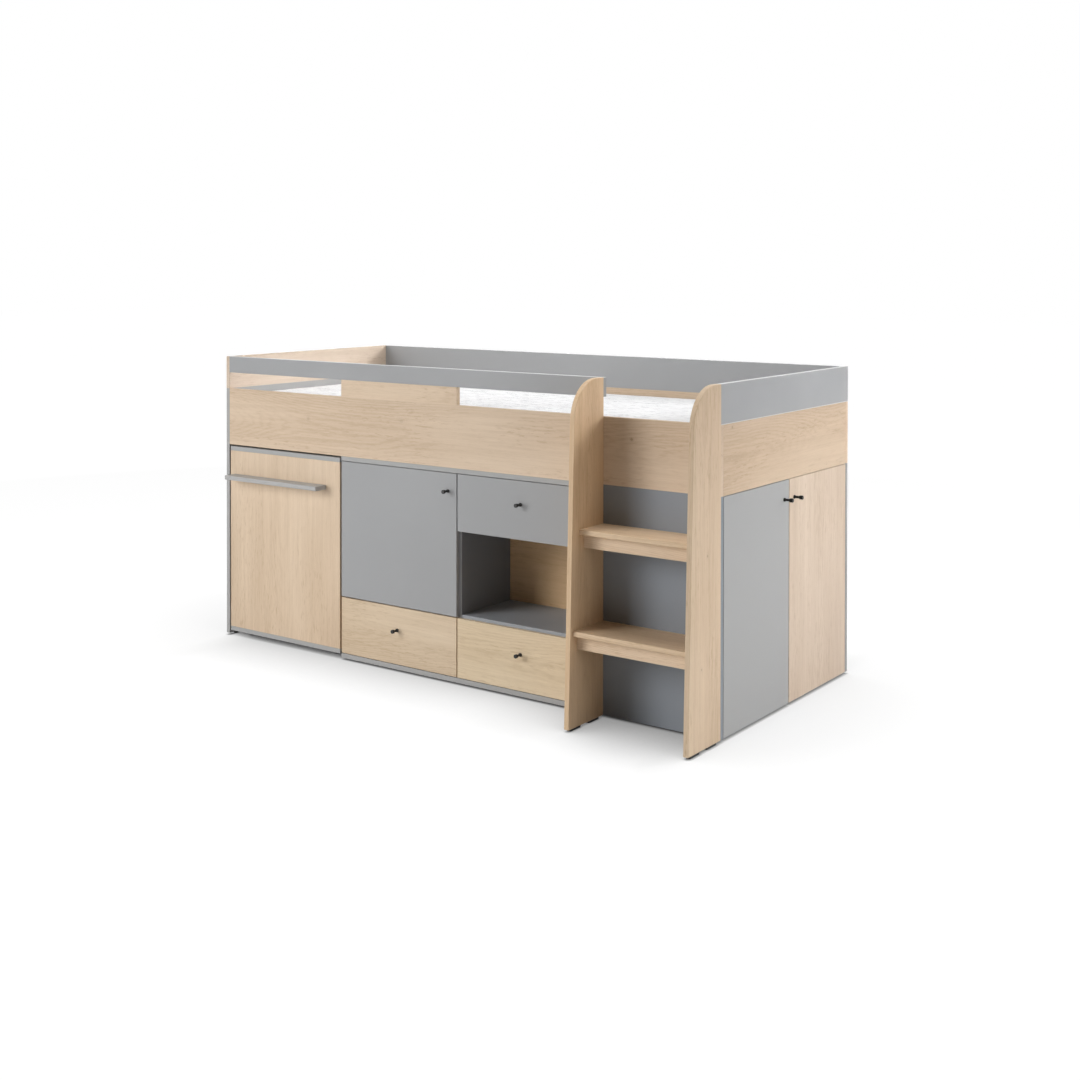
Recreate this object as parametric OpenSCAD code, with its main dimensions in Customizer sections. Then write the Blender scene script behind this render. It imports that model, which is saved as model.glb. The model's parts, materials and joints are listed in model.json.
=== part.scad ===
// Cabin bed: a raised single bed over a pull-out desk, a small chest and an end wardrobe.
// X runs along the bed from its left end, Y from the front faces to the back, Z up from the floor.
// All boards are melamine-faced panels of one thickness. Sizes are in millimetres.

/* [Sleeping surface] */
// Length of the mattress
mattress_l = 2000; // [1980:10:2100]
// Width of the mattress
mattress_w = 900; // [850:10:1000]
// Height of the mattress
mattress_h = 140; // [110:5:150]
// Play between the mattress and the boards round it
mattress_gap = 5; // [3:1:12]
// How far the middle of the mattress stands above its piped edge
mattress_crown = 8; // [2:1:14]
// How far the sides of the mattress draw in between the two piped edges
mattress_waist = 5; // [1:1:10]
// Number of slats under the mattress
slat_count = 14; // [10:1:18]
// Width of a slat
slat_w = 70; // [50:1:80]
// Thickness of a slat
slat_t = 16; // [12:1:20]
// Width of the ledger that carries the slats
ledger_w = 30; // [20:1:45]
// Height of the ledger that carries the slats
ledger_h = 29; // [20:1:34]

/* [Boards and levels] */
// Thickness of every panel
board_t = 16; // [15:0.5:18]
// Height of the gliders that keep the panels off the floor
foot_h = 7; // [5:1:12]
// Level of the underside of the bed rails
base_h = 720; // [700:5:760]
// Height of the bed rails
rail_h = 210; // [190:5:240]
// Height of the open slots under the front guard
slot_h = 60; // [45:5:75]
// Height of the front guard board
guard_h = 60; // [45:5:80]

/* [Bays under the bed] */
// Width of the bay for the pull-out desk
desk_bay_w = 557; // [520:1:585]
// Width of the wardrobe, from the outer face of its side to the end of the bed
wardrobe_w = 451; // [430:1:480]
// Depth of the chest from the front plane to its back board
chest_d = 300; // [280:5:360]
// Thickness of the chest's hardboard back
back_t = 3; // [2.5:0.5:6]
// Level of the joint above the lower drawer fronts
lower_split = 224; // [205:1:250]
// Level of the joint between the open niche and the upper drawer
upper_split = 510; // [480:1:530]
// Gap between two neighbouring fronts
front_gap = 4; // [2:0.5:5]
// Air between a closed front and the boards behind it
buffer_gap = 1; // [0.9:0.1:2]

/* [Drawers] */
// How far the top of a drawer box lies below the top of its front
drawer_head = 34; // [20:1:60]
// Depth of a drawer box behind its front
drawer_d = 265; // [240:5:270]
// Thickness of the drawer sides
drawer_side_t = 12; // [10:1:15]
// Thickness of the drawer bottom
drawer_bottom_t = 3; // [2.5:0.5:5]
// Width kept for the runner on each side of a drawer box
runner_space = 12.5; // [12:0.5:14]
// Sheet thickness of the runner profiles
runner_t = 1.2; // [0.8:0.1:1.4]
// Running clearance of the runners
runner_gap = 0.3; // [0.2:0.05:0.5]
// Length of a runner
runner_l = 260; // [240:5:262]

/* [Doors and knobs] */
// Gap between an end door and the panel edges on either side of it
door_gap = 3; // [2:0.5:4]
// Gap above an end door
door_head = 2; // [1:0.5:4]
// Length of a knob
knob_l = 30; // [20:1:40]
// Radius of a knob's head
knob_r = 6.5; // [5:0.5:10]
// Distance of a knob from the free edge of its door
knob_inset = 35; // [25:1:60]
// Distance of a door knob below the top of its door
knob_drop = 60; // [40:1:120]
// How far a drawer's knob sits above the middle of its front
knob_rise = 19; // [0:1:30]
// Radius of a hinge cup
cup_r = 17.5; // [15:0.5:18]
// Depth of a hinge cup in the door
cup_depth = 11.5; // [10:0.5:12.5]
// Distance of a hinge cup's centre from the door's edge
cup_inset = 21.5; // [20:0.5:24]
// Distance of a hinge's centre from the end of its door
hinge_inset = 95; // [70:5:130]

/* [Desk] */
// Gap between the desk unit and the bay round it
desk_gap = 6.5; // [4:0.5:8]
// Distance from the desk's back to the inner face of the back rail
desk_rear_gap = 66; // [40:1:120]
// Level of the underside of the desk's base board
desk_clear = 20; // [16:1:24]
// Height of the stiffening panel under the desk top
apron_panel_h = 300; // [200:10:400]
// Length of the handle bar
handle_l = 454; // [380:1:480]
// Distance of the handle bar from the desk's left edge
handle_x = 23.5; // [10:0.5:40]
// How far the handle bar stands out
handle_d = 55; // [35:1:70]
// Distance of the handle bar's underside below the desk's top
handle_drop = 118.5; // [80:0.5:160]
// Radius on the handle bar's front edges
handle_r = 3; // [1:0.5:6]
// Radius of a castor wheel
wheel_r = 18; // [16:0.5:20]
// Width of a castor wheel
wheel_w = 16; // [12:1:20]
// Radius of a castor's axle pin
axle_r = 3; // [2.5:0.25:4]
// Radial clearance of a wheel on its pin
axle_gap = 0.05; // [0.02:0.01:0.1]
// Distance of the castors from the sides of the desk
castor_x = 60; // [40:1:100]
// Distance of the castors from the front and back of the desk
castor_y = 60; // [50:1:100]

/* [Ladder] */
// Distance of the ladder from the wardrobe's side
ladder_inset = 38; // [20:1:60]
// How far the stiles stand out at the floor
ladder_d = 198; // [180:1:240]
// Radius of the round shoulder of a stile
stile_r = 130; // [80:1:150]
// Length of the flat top of a stile
stile_top = 38; // [20:1:60]
// Level of the lower tread's top
tread_z1 = 300; // [260:1:330]
// Level of the upper tread's top
tread_z2 = 600; // [560:1:630]
// Depth of the lower tread
tread_d1 = 177; // [150:1:180]
// Depth of the upper tread
tread_d2 = 140; // [120:1:165]
// Height of the apron under a tread
apron_h = 42; // [30:1:60]
// Distance of an apron behind the front of its tread
apron_back = 25; // [10:1:40]
// Radius on the front edges of a tread
tread_r = 3; // [1:0.5:5]
// Length of a stile's glider pad
pad_l = 55; // [30:1:70]

/* [Hidden] */
$fn = 64;

oak = [0.83, 0.75, 0.65];
grey = [0.62, 0.62, 0.62];
pine = [0.87, 0.78, 0.62];
white = [0.95, 0.95, 0.94];
black = [0.07, 0.07, 0.07];
steel = [0.75, 0.76, 0.78];

eps = 0.01;              // overlap that joins two forms of one solid
half_gap = front_gap / 2;

// Overall plan
inner_l = mattress_l + 2 * mattress_gap;
inner_w = mattress_w + 2 * mattress_gap;
bed_l = inner_l + 2 * board_t;
bed_w = inner_w + 2 * board_t;
x_end = bed_l - board_t;          // inner face of the right end
y_back = bed_w - board_t;         // inner face of the back
rail_top = base_h + rail_h;
guard_z = rail_top + slot_h;
bed_h = guard_z + guard_h;

// Chest and wardrobe plan
chest_x = board_t + desk_bay_w;
wardrobe_x = bed_l - wardrobe_w;
split_x = (chest_x + wardrobe_x) / 2;
carcass_y = board_t + buffer_gap; // front edges of the boards behind the fronts
carcass_x = x_end - buffer_gap;   // right edges of the boards behind the end doors
door_y = bed_w / 2;               // joint between the two end doors
left_bay = [chest_x + board_t, split_x - board_t / 2];
right_bay = [split_x + board_t / 2, wardrobe_x - board_t];
left_front = [chest_x + half_gap, split_x - half_gap];
right_front = [split_x + half_gap, wardrobe_x - half_gap];
cell_floor = foot_h + board_t;
cell_top = base_h - board_t;
low_front = [cell_floor + half_gap, lower_split - half_gap];
cupboard_front = [lower_split + half_gap, cell_top - half_gap];
drawer_front = [upper_split + half_gap, cell_top - half_gap];
ceiling_z = drawer_front[0] + 0.5; // niche ceiling, hidden behind the drawer front
end_front = [foot_h + 1, base_h - door_head];
front_end_y = [board_t + door_gap, door_y - half_gap];
rear_end_y = [door_y + half_gap, y_back - door_gap];

// Slats and mattress
slat_z = base_h + ledger_h;
mattress_z = slat_z + slat_t + 0.3;
slat_margin = 25;
slat_play = 2;

// Drawers and runners, measured from the box's lower edge
box_lift = 12;           // box above the board under it
rail_low = 2;            // fixed profile's reach below the box
rail_high = 20;          // fixed profile's reach above the box's lower edge
flange_z = rail_high - 6; // underside of the moving profile's flange
flange_w = runner_space - runner_t - runner_gap;
glide_l = 18;
groove_d = 6;
groove_z = 8;
upper_box_z = ceiling_z + board_t + box_lift;
lower_box_z = cell_floor + box_lift;

// Desk
desk_x = [board_t + desk_gap, chest_x - desk_gap];
desk_y = y_back - desk_rear_gap;
desk_h = base_h - desk_gap;
handle_z = desk_h - handle_drop;
desk_base_top = desk_clear + board_t;
guide_gap = 0.3;
ear_t = 2;
ear_gap = 0.8;
plate_t = 2;
plate_w = 56;
slot_play = 1.2;

// Ladder
stile_x = [wardrobe_x + ladder_inset, bed_l - board_t];
tread_w = stile_x[1] - stile_x[0] - board_t;
treads = [[tread_z1, tread_d1], [tread_z2, tread_d2]];
shoulder_z = bed_h - stile_r;

// Fittings
cup_play = 0.05;
flange_t = 0.8;
arm_w = 12;
arm_gap = 0.1;
arm_l = 62;
shelf_play = 1;
shelf_setback = 25;
pin_play = 0.1;
pin_r = 2.5;
pin_l = 9;
glider_r = 12;

// The part's own origin: the middle of its footprint, on the floor
x_mid = (bed_l + knob_l) / 2;
y_mid = (bed_w - ladder_d) / 2;

module placed() {
    translate([-x_mid, -y_mid, 0]) children();
}

// A straight board given by its reach along X, Y and Z
module board(x, y, z) {
    translate([x[0], y[0], z[0]]) cube([x[1] - x[0], y[1] - y[0], z[1] - z[0]]);
}

// A flat form drawn in Y and Z and given a thickness along X
module yz_plate(x, t) {
    translate([x, 0, 0]) rotate([90, 0, 90]) linear_extrude(t) children();
}

// Section of a board whose front, at x = -d, has two rounded edges
module nosed(d, t, r) {
    translate([-(d - r), 0]) square([d - r, t]);
    translate([-d, r]) square([r + eps, t - 2 * r]);
    for (y = [r, t - r]) translate([-(d - r), y]) circle(r);
}

// ---- Bed frame ----

module left_side_panel() {
    color(grey) placed() board([0, board_t], [0, bed_w], [foot_h, rail_top]);
}

module left_end_board() {
    color(oak) placed() board([0, board_t], [0, bed_w], [rail_top, bed_h]);
}

module right_end_rail() {
    color(oak) placed() board([x_end, bed_l], [board_t, y_back], [base_h, rail_top]);
}

module right_end_guard() {
    color(grey) placed() board([x_end, bed_l], [0, bed_w], [rail_top, bed_h]);
}

module front_rail() {
    color(oak) placed() board([board_t, bed_l], [0, board_t], [base_h, rail_top]);
}

module guard_spacer() {
    color(oak) placed() board([chest_x, split_x], [0, board_t], [rail_top, guard_z]);
}

module front_guard() {
    color(grey) placed()
        board([board_t, stile_x[0] + board_t], [0, board_t], [guard_z, bed_h]);
}

module back_rail() {
    color(oak) placed() board([board_t, bed_l], [y_back, bed_w], [base_h, rail_top]);
}

module back_guard() {
    color(grey) placed() board([board_t, x_end], [y_back, bed_w], [rail_top, bed_h]);
}

module slat_ledgers() {
    color(pine) placed()
        for (y = [board_t, y_back - ledger_w])
            board([board_t, x_end], [y, y + ledger_w], [base_h, slat_z]);
}

module slats() {
    pitch = (inner_l - 2 * slat_margin - slat_w) / (slat_count - 1);
    color(pine) placed()
        for (i = [0 : slat_count - 1]) {
            x = board_t + slat_margin + i * pitch;
            board([x, x + slat_w], [board_t + slat_play, y_back - slat_play],
                [slat_z, slat_z + slat_t]);
        }
}

// One level of the mattress: a rectangle with round corners, drawn in by inset
corner_steps = 6;
corner_r = 34;
ring_n = 4 * (corner_steps + 1);
function ring(inset, z) = [for (c = [0 : 3], k = [0 : corner_steps])
    let (a = 90 * c + 90 * k / corner_steps,
        r = max(corner_r - inset, 3),
        sx = (c == 0 || c == 3) ? 1 : -1,
        sy = c < 2 ? 1 : -1)
    [sx * (mattress_l / 2 - inset - r) + r * cos(a), sy * (mattress_w / 2 - inset - r) + r * sin(a), z]];

// Side and top of the mattress as [inset, level]: piped edges, drawn-in side, crowned top
edge_z = mattress_h - mattress_crown;
crown_run = 0.27 * mattress_w;
pipe = 7;
mattress_profile = concat(
    [[pipe, 0], [pipe / 3, 1.5], [0, pipe], [pipe / 3, 2 * pipe]],
    [for (s = [0.25, 0.5, 0.75]) [pipe / 3 + mattress_waist * sin(180 * s), 2 * pipe + s * (edge_z - 4 * pipe)]],
    [[pipe / 3, edge_z - 2 * pipe], [0, edge_z - pipe], [pipe / 3, edge_z - 1.5], [pipe, edge_z]],
    [for (s = [0.2, 0.45, 0.75, 1]) [pipe + crown_run * s, edge_z + mattress_crown * sin(90 * s)]]);

module mattress() {
    n = ring_n;
    m = len(mattress_profile);
    points = [for (p = mattress_profile) each ring(p[0], p[1])];
    walls = [for (j = [0 : m - 2], i = [0 : n - 1])
        let (a = j * n + i, b = j * n + (i + 1) % n)
        each [[a, b + n, b], [a, a + n, b + n]]];
    caps = [[for (i = [0 : n - 1]) i], [for (i = [n - 1 : -1 : 0]) (m - 1) * n + i]];
    color(white) placed()
        translate([bed_l / 2, bed_w / 2, mattress_z])
            polyhedron(points, concat(walls, caps));
}

// ---- Ladder ----

module stile(x) {
    color(oak) placed() yz_plate(x, board_t) {
        polygon([[0, foot_h], [-ladder_d, foot_h], [-(stile_top + stile_r), shoulder_z],
            [-stile_top, shoulder_z], [-stile_top, bed_h], [0, bed_h]]);
        intersection() {
            translate([-stile_top, shoulder_z]) circle(stile_r, $fn = 128);
            translate([-(stile_top + stile_r), shoulder_z]) square(stile_r);
        }
    }
}

module ladder_stile_left() {
    stile(stile_x[0]);
}

module ladder_stile_right() {
    stile(stile_x[1]);
}

module ladder_treads() {
    color(oak) placed()
        for (tread = treads)
            translate([0, 0, tread[0] - board_t])
                yz_plate(stile_x[0] + board_t, tread_w)
                    nosed(tread[1], board_t, tread_r);
}

module ladder_aprons() {
    color(oak) placed()
        for (tread = treads) {
            y = -(tread[1] - apron_back);
            z = tread[0] - board_t;
            board([stile_x[0] + board_t, stile_x[1]], [y, y + board_t], [z - apron_h, z]);
        }
}

module glider(x, y, r) {
    translate([x, y, 0]) {
        cylinder(h = 2, r1 = r - 1, r2 = r);
        translate([0, 0, 2]) cylinder(h = foot_h - 2, r = r);
    }
}

module floor_gliders() {
    edge_r = board_t / 2 - 0.5;
    inset = 40;
    color(black) placed() {
        for (y = [inset, bed_w / 2, bed_w - inset]) glider(board_t / 2, y, edge_r);
        for (x = [chest_x + inset, split_x, wardrobe_x - inset], y = [inset, chest_d - inset])
            glider(x, y, glider_r);
        for (x = [wardrobe_x + inset, bed_l - 2 * inset], y = [inset, bed_w / 2, bed_w - inset])
            glider(x, y, glider_r);
        for (x = stile_x, y = [-ladder_d + 15, -ladder_d / 2 + 20])
            board([x + 2, x + board_t - 2], [y, y + pad_l], [0, foot_h]);
    }
}

// ---- Chest ----

// Top or bottom board: its front edge also covers the edge of the wardrobe's side
module chest_deck(z) {
    color(grey) placed() {
        board([chest_x, wardrobe_x - board_t], [0, chest_d + back_t], z);
        board([wardrobe_x - board_t - eps, wardrobe_x], [0, carcass_y], z);
    }
}

module chest_top() {
    chest_deck([cell_top, base_h]);
}

module chest_bottom() {
    chest_deck([foot_h, cell_floor]);
}

module chest_side() {
    color(grey) placed()
        board([chest_x, left_bay[0]], [carcass_y, chest_d], [cell_floor, cell_top]);
}

module chest_divider() {
    color(grey) placed()
        board([left_bay[1], right_bay[0]], [carcass_y, chest_d], [cell_floor, cell_top]);
}

module wardrobe_side() {
    color(grey) placed()
        board([right_bay[1], wardrobe_x], [carcass_y, y_back], [foot_h, base_h]);
}

module chest_fixed_shelves() {
    color(grey) placed() {
        for (bay = [left_bay, right_bay])
            board(bay, [carcass_y, chest_d],
                [lower_split - board_t / 2, lower_split + board_t / 2]);
        board(right_bay, [carcass_y, chest_d], [ceiling_z, ceiling_z + board_t]);
    }
}

module chest_back() {
    color(oak) placed()
        board([chest_x, right_bay[1]], [chest_d, chest_d + back_t], [cell_floor, cell_top]);
}

// Loose shelves: [space along X, space along Y, level of the underside]
cupboard_shelf_z = (lower_split + cell_top) / 2;
wardrobe_shelf_z = (cell_floor + cell_top) / 2;
partition_y = [door_y - board_t / 2, door_y + board_t / 2];
shelf_list = [
    [left_bay, [carcass_y + shelf_setback, chest_d], cupboard_shelf_z],
    [[wardrobe_x, carcass_x - shelf_setback], [board_t, partition_y[0]], wardrobe_shelf_z],
    [[wardrobe_x, carcass_x - shelf_setback], [partition_y[1], y_back], wardrobe_shelf_z]];

module loose_shelves() {
    p = shelf_play;
    color(grey) placed()
        for (s = shelf_list)
            board([s[0][0] + p, s[0][1] - p], [s[1][0] + p, s[1][1] - p], [s[2], s[2] + board_t]);
}

// Pins stand out of the boards at both ends of a shelf and carry its underside
module shelf_pins() {
    inset = 40;
    color(steel) placed()
        for (i = [0 : 2]) {
            s = shelf_list[i];
            along = i == 0 ? 0 : 1;        // direction of the pins: X in the chest, Y in the wardrobe
            z = s[2] - pin_r - pin_play;
            for (end = [0, 1], e = [s[1 - along][0] + inset, s[1 - along][1] - inset]) {
                root = s[along][end] - end * pin_l;
                translate(along == 0 ? [root, e, z] : [e, root, z])
                    rotate(along == 0 ? [0, 90, 0] : [-90, 0, 0]) cylinder(h = pin_l, r = pin_r);
            }
        }
}

// A profile drawn in X and Z and run along Y
module along_y(l) {
    rotate([90, 0, 180]) mirror([1, 0, 0]) linear_extrude(l) children();
}

// Fixed runner profile on the wall at x = 0, opening towards +x, with its nylon glide at the front
module fixed_rail() {
    along_y(runner_l) {
        translate([0, -rail_low]) square([runner_t, rail_low + rail_high]);
        translate([0, -rail_low]) square([flange_w, runner_t]);
        translate([0, rail_high - runner_t]) square([flange_w, runner_t]);
    }
    translate([runner_t, 0, runner_t - rail_low])
        cube([flange_w - 2 * runner_t, glide_l, flange_z - runner_gap - runner_t + rail_low]);
}

// Moving runner profile, seen from the same wall: it wraps the lower edge of the drawer side
module moving_rail() {
    leg_x = runner_space - runner_t;
    along_y(runner_l) {
        translate([leg_x, -runner_t]) square([runner_t, flange_z + 2 * runner_t]);
        translate([leg_x, -runner_t]) square([drawer_side_t + runner_t, runner_t]);
        translate([2 * runner_t, flange_z]) square([runner_space - 2 * runner_t, runner_t]);
    }
    translate([2 * runner_t, runner_l - glide_l, runner_t - rail_low + runner_gap])
        cube([leg_x - 2 * runner_t, glide_l, flange_z + rail_low - runner_t - runner_gap]);
}

module rail_pair(bay, z) {
    translate([bay[0], carcass_y, z]) children();
    translate([bay[1], carcass_y, z]) mirror([1, 0, 0]) children();
}

module drawer_rails() {
    color(steel) placed() {
        rail_pair(right_bay, upper_box_z) fixed_rail();
        rail_pair(left_bay, lower_box_z) fixed_rail();
        rail_pair(right_bay, lower_box_z) fixed_rail();
    }
}

// ---- Wardrobe ----

module wardrobe_front_panel() {
    color(grey) placed() board([wardrobe_x, bed_l], [0, board_t], [foot_h, base_h]);
}

module wardrobe_partition() {
    color(grey) placed()
        board([wardrobe_x, carcass_x], partition_y, [cell_floor, cell_top]);
}

module wardrobe_top() {
    color(grey) placed()
        board([wardrobe_x, carcass_x], [board_t, y_back], [cell_top, base_h]);
}

module wardrobe_floor() {
    color(grey) placed()
        board([wardrobe_x, carcass_x], [board_t, y_back], [foot_h, cell_floor]);
}

module wardrobe_back_panel() {
    color(grey) placed()
        board([right_bay[1], bed_l], [y_back, bed_w], [foot_h, base_h]);
}

// ---- Concealed hinges ----

// Arm and mounting plate on the wall at y = 0; the door lies beyond x = 0 and c is the distance
// of its cup's centre from the wall, so the arm of an inset door is cranked further
module hinge_arm(c) {
    plate = 2;
    body = 13;
    translate([0, 0, -arm_w / 2]) linear_extrude(arm_w)
        polygon([[0, c], [0, c + 12], [6, c + 13], [16, c + 8], [34, body + 0.5], [arm_l, body],
            [arm_l, plate], [22, plate], [14, c - 2]]);
    translate([20, 0, -arm_w / 2]) cube([36, plate, arm_w]);
    translate([30, 0, -24]) cube([14, plate, 48]);
    for (z = [-17, 17]) translate([37, plate - eps, z]) rotate([-90, 0, 0]) cylinder(h = 1.5, r = 3.5);
}

function hinge_levels(front) = [front[0] + hinge_inset, front[1] - hinge_inset];

module hinge_arms() {
    overlay = left_front[0] + cup_inset - left_bay[0];
    inset = door_gap + cup_inset;
    color(steel) placed() {
        for (z = hinge_levels(cupboard_front))
            translate([left_bay[0], carcass_y + arm_gap, z])
                rotate([0, 0, 90]) mirror([0, 1, 0]) hinge_arm(overlay);
        for (z = hinge_levels(end_front)) {
            translate([carcass_x - arm_gap, board_t, z]) mirror([1, 0, 0]) hinge_arm(inset);
            translate([carcass_x - arm_gap, y_back, z]) rotate([0, 0, 180]) hinge_arm(inset);
        }
    }
}

// Blind bore for a cup, drilled along -y from y = 0
module cup_bore() {
    rotate([90, 0, 0]) cylinder(h = cup_depth + cup_play, r = cup_r);
}

// Cup whose flange lies on the back of the door at y = 0 and whose pot reaches into it,
// open towards the arm, with the two pins of its links across it
module hinge_cup() {
    pot_r = cup_r - cup_play;
    slot = arm_w + 1;
    difference() {
        union() {
            rotate([90, 0, 0]) cylinder(h = cup_depth, r = pot_r);
            rotate([-90, 0, 0]) cylinder(h = flange_t, r = cup_r + 2);
            translate([-9, 0, -26]) cube([16, flange_t, 52]);
        }
        translate([-11, 1.5 - cup_depth, -slot / 2]) cube([24, cup_depth + flange_t, slot]);
    }
    for (x = [-4, 6]) translate([x, -4, -slot / 2 - eps]) cylinder(h = slot + 2 * eps, r = 1.5, $fn = 24);
}

// ---- Knobs ----

// Turned knob that stands out along +z from the face at z = 0
module knob() {
    base_r = knob_r - 0.5;
    neck_r = knob_r - 2.5;
    rotate_extrude() polygon([[0, 0], [base_r, 0], [base_r, 3], [neck_r, 5],
        [neck_r, knob_l - 14], [knob_r - 0.8, knob_l - 11], [knob_r, knob_l - 8],
        [knob_r, knob_l - 1], [knob_r - 1, knob_l], [0, knob_l]]);
}

module front_knob(x, z) {
    translate([x, 0, z]) rotate([90, 0, 0]) knob();
}

module end_knob(y, z) {
    translate([bed_l, y, z]) rotate([0, 90, 0]) knob();
}

// ---- Cupboard door ----

module cupboard_door() {
    color(grey) placed() difference() {
        board(left_front, [0, board_t], cupboard_front);
        for (z = hinge_levels(cupboard_front))
            translate([left_front[0] + cup_inset, board_t + eps, z]) cup_bore();
    }
}

module cupboard_knob() {
    color(black) placed() front_knob(left_front[1] - knob_inset, cupboard_front[1] - knob_drop);
}

module cupboard_hinge_cups() {
    color(steel) placed()
        for (z = hinge_levels(cupboard_front))
            translate([left_front[0] + cup_inset, board_t, z]) hinge_cup();
}

// ---- End doors ----

module front_end_door() {
    color(grey) placed() difference() {
        board([x_end, bed_l], front_end_y, end_front);
        for (z = hinge_levels(end_front))
            translate([x_end - eps, front_end_y[0] + cup_inset, z]) rotate([0, 0, 90]) cup_bore();
    }
}

module front_end_door_fittings() {
    color(black) placed() end_knob(front_end_y[1] - knob_inset, end_front[1] - knob_drop);
    color(steel) placed()
        for (z = hinge_levels(end_front))
            translate([x_end, front_end_y[0] + cup_inset, z]) rotate([0, 0, 90]) hinge_cup();
}

module rear_end_door() {
    color(oak) placed() difference() {
        board([x_end, bed_l], rear_end_y, end_front);
        for (z = hinge_levels(end_front))
            translate([x_end - eps, rear_end_y[1] - cup_inset, z]) rotate([0, 0, 90]) cup_bore();
    }
}

module rear_end_door_fittings() {
    color(black) placed() end_knob(rear_end_y[0] + knob_inset, end_front[1] - knob_drop);
    color(steel) placed()
        for (z = hinge_levels(end_front))
            translate([x_end, rear_end_y[1] - cup_inset, z])
                rotate([0, 0, 90]) mirror([1, 0, 0]) hinge_cup();
}

// ---- Drawers ----

module drawer_face(x, z, tint) {
    color(tint) placed() board(x, [0, board_t], z);
}

module drawer_knob(x, z) {
    color(black) placed() front_knob((x[0] + x[1]) / 2, (z[0] + z[1]) / 2 + knob_rise);
}

// Two grooved sides, a back and a bottom that sits in the grooves, with the moving runners
module drawer_box(bay, z, front) {
    top = front[1] - drawer_head;
    x = [bay[0] + runner_space, bay[1] - runner_space];
    y = [board_t, board_t + drawer_d];
    inner = [x[0] + drawer_side_t, x[1] - drawer_side_t];
    groove = [z + groove_z, z + groove_z + drawer_bottom_t];
    color(white) placed() {
        difference() {
            for (side = [[x[0], inner[0]], [inner[1], x[1]]]) board(side, y, [z, top]);
            board([inner[0] - groove_d, inner[1] + groove_d], [y[0] - 1, y[1] + 1], groove);
        }
        board(inner, [y[1] - drawer_side_t, y[1]], [groove[1], top]);
        board([inner[0] - groove_d, inner[1] + groove_d], y, groove);
    }
    color(steel) placed() rail_pair(bay, z) moving_rail();
}

module upper_drawer_front() {
    drawer_face(right_front, drawer_front, grey);
}

module upper_drawer_box() {
    drawer_box(right_bay, upper_box_z, drawer_front);
}

module upper_drawer_knob() {
    drawer_knob(right_front, drawer_front);
}

module lower_left_drawer_front() {
    drawer_face(left_front, low_front, oak);
}

module lower_left_drawer_box() {
    drawer_box(left_bay, lower_box_z, low_front);
}

module lower_left_drawer_knob() {
    drawer_knob(left_front, low_front);
}

module lower_right_drawer_front() {
    drawer_face(right_front, low_front, oak);
}

module lower_right_drawer_box() {
    drawer_box(right_bay, lower_box_z, low_front);
}

module lower_right_drawer_knob() {
    drawer_knob(right_front, low_front);
}

// ---- Pull-out desk ----

module desk_top() {
    color(grey) placed() board(desk_x, [0, desk_y], [desk_h - board_t, desk_h]);
}

module desk_front_panel() {
    color(oak) placed() board(desk_x, [0, board_t], [desk_base_top, desk_h - board_t]);
}

castor_slot = [wheel_w + 2 * (ear_gap + ear_t + slot_play), 2 * wheel_r + 8];
castor_xs = [desk_x[0] + castor_x, desk_x[1] - castor_x];
castor_ys = [castor_y, desk_y - castor_y];

module desk_base() {
    color(grey) placed() difference() {
        board(desk_x, [0, desk_y], [desk_clear, desk_base_top]);
        for (x = castor_xs, y = castor_ys)
            translate([x - castor_slot[0] / 2, y - castor_slot[1] / 2, desk_clear - 1])
                cube([castor_slot[0], castor_slot[1], board_t + 2]);
    }
}

module desk_back_panel() {
    color(oak) placed()
        board(desk_x, [desk_y - board_t, desk_y], [desk_base_top, desk_h - board_t]);
}

module desk_side_panel() {
    color(oak) placed()
        board([desk_x[0], desk_x[0] + board_t], [board_t, desk_y - board_t],
            [desk_h - board_t - apron_panel_h, desk_h - board_t]);
}

module desk_handle() {
    color(grey) placed() translate([0, 0, handle_z])
        yz_plate(desk_x[0] + handle_x, handle_l) nosed(handle_d, board_t, handle_r);
}

// Plate on the base board, two ears down through the slot and the axle pin between them
module castor_bracket() {
    ear = wheel_w / 2 + ear_gap;
    window = 2 * wheel_r + 4;
    difference() {
        translate([-plate_w / 2, -plate_w / 2, desk_base_top]) cube([plate_w, plate_w, plate_t]);
        translate([-ear, -window / 2, desk_base_top - 1]) cube([2 * ear, window, plate_t + 2]);
    }
    for (x = [-ear - ear_t, ear])
        translate([x, -8, wheel_r - 6])
            cube([ear_t, 16, desk_base_top + plate_t - wheel_r + 6]);
    translate([-ear - ear_t, 0, wheel_r]) rotate([0, 90, 0])
        cylinder(h = 2 * (ear + ear_t), r = axle_r);
}

module castor_brackets() {
    color(steel) placed()
        for (x = castor_xs, y = castor_ys) translate([x, y, 0]) castor_bracket();
}

module castor_wheel() {
    bore = axle_r + axle_gap;
    rotate([0, 90, 0]) rotate_extrude()
        polygon([[bore, -wheel_w / 2], [wheel_r - 2, -wheel_w / 2], [wheel_r, -wheel_w / 2 + 2],
            [wheel_r, wheel_w / 2 - 2], [wheel_r - 2, wheel_w / 2], [bore, wheel_w / 2]]);
}

module castor_wheels(y) {
    color(black) placed()
        for (x = castor_xs) translate([x, y, wheel_r]) castor_wheel();
}

module front_castor_wheels() {
    castor_wheels(castor_ys[0]);
}

module rear_castor_wheels() {
    castor_wheels(castor_ys[1]);
}

// Strips on the bay's walls that guide the edges of the desk's base board
module desk_guides() {
    z = [desk_clear - 1, desk_base_top + 1];
    color(black) placed() {
        board([board_t, desk_x[0] - guide_gap], [20, 2 * chest_d], z);
        board([desk_x[1] + guide_gap, chest_x], [20, chest_d], z);
    }
}

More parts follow.
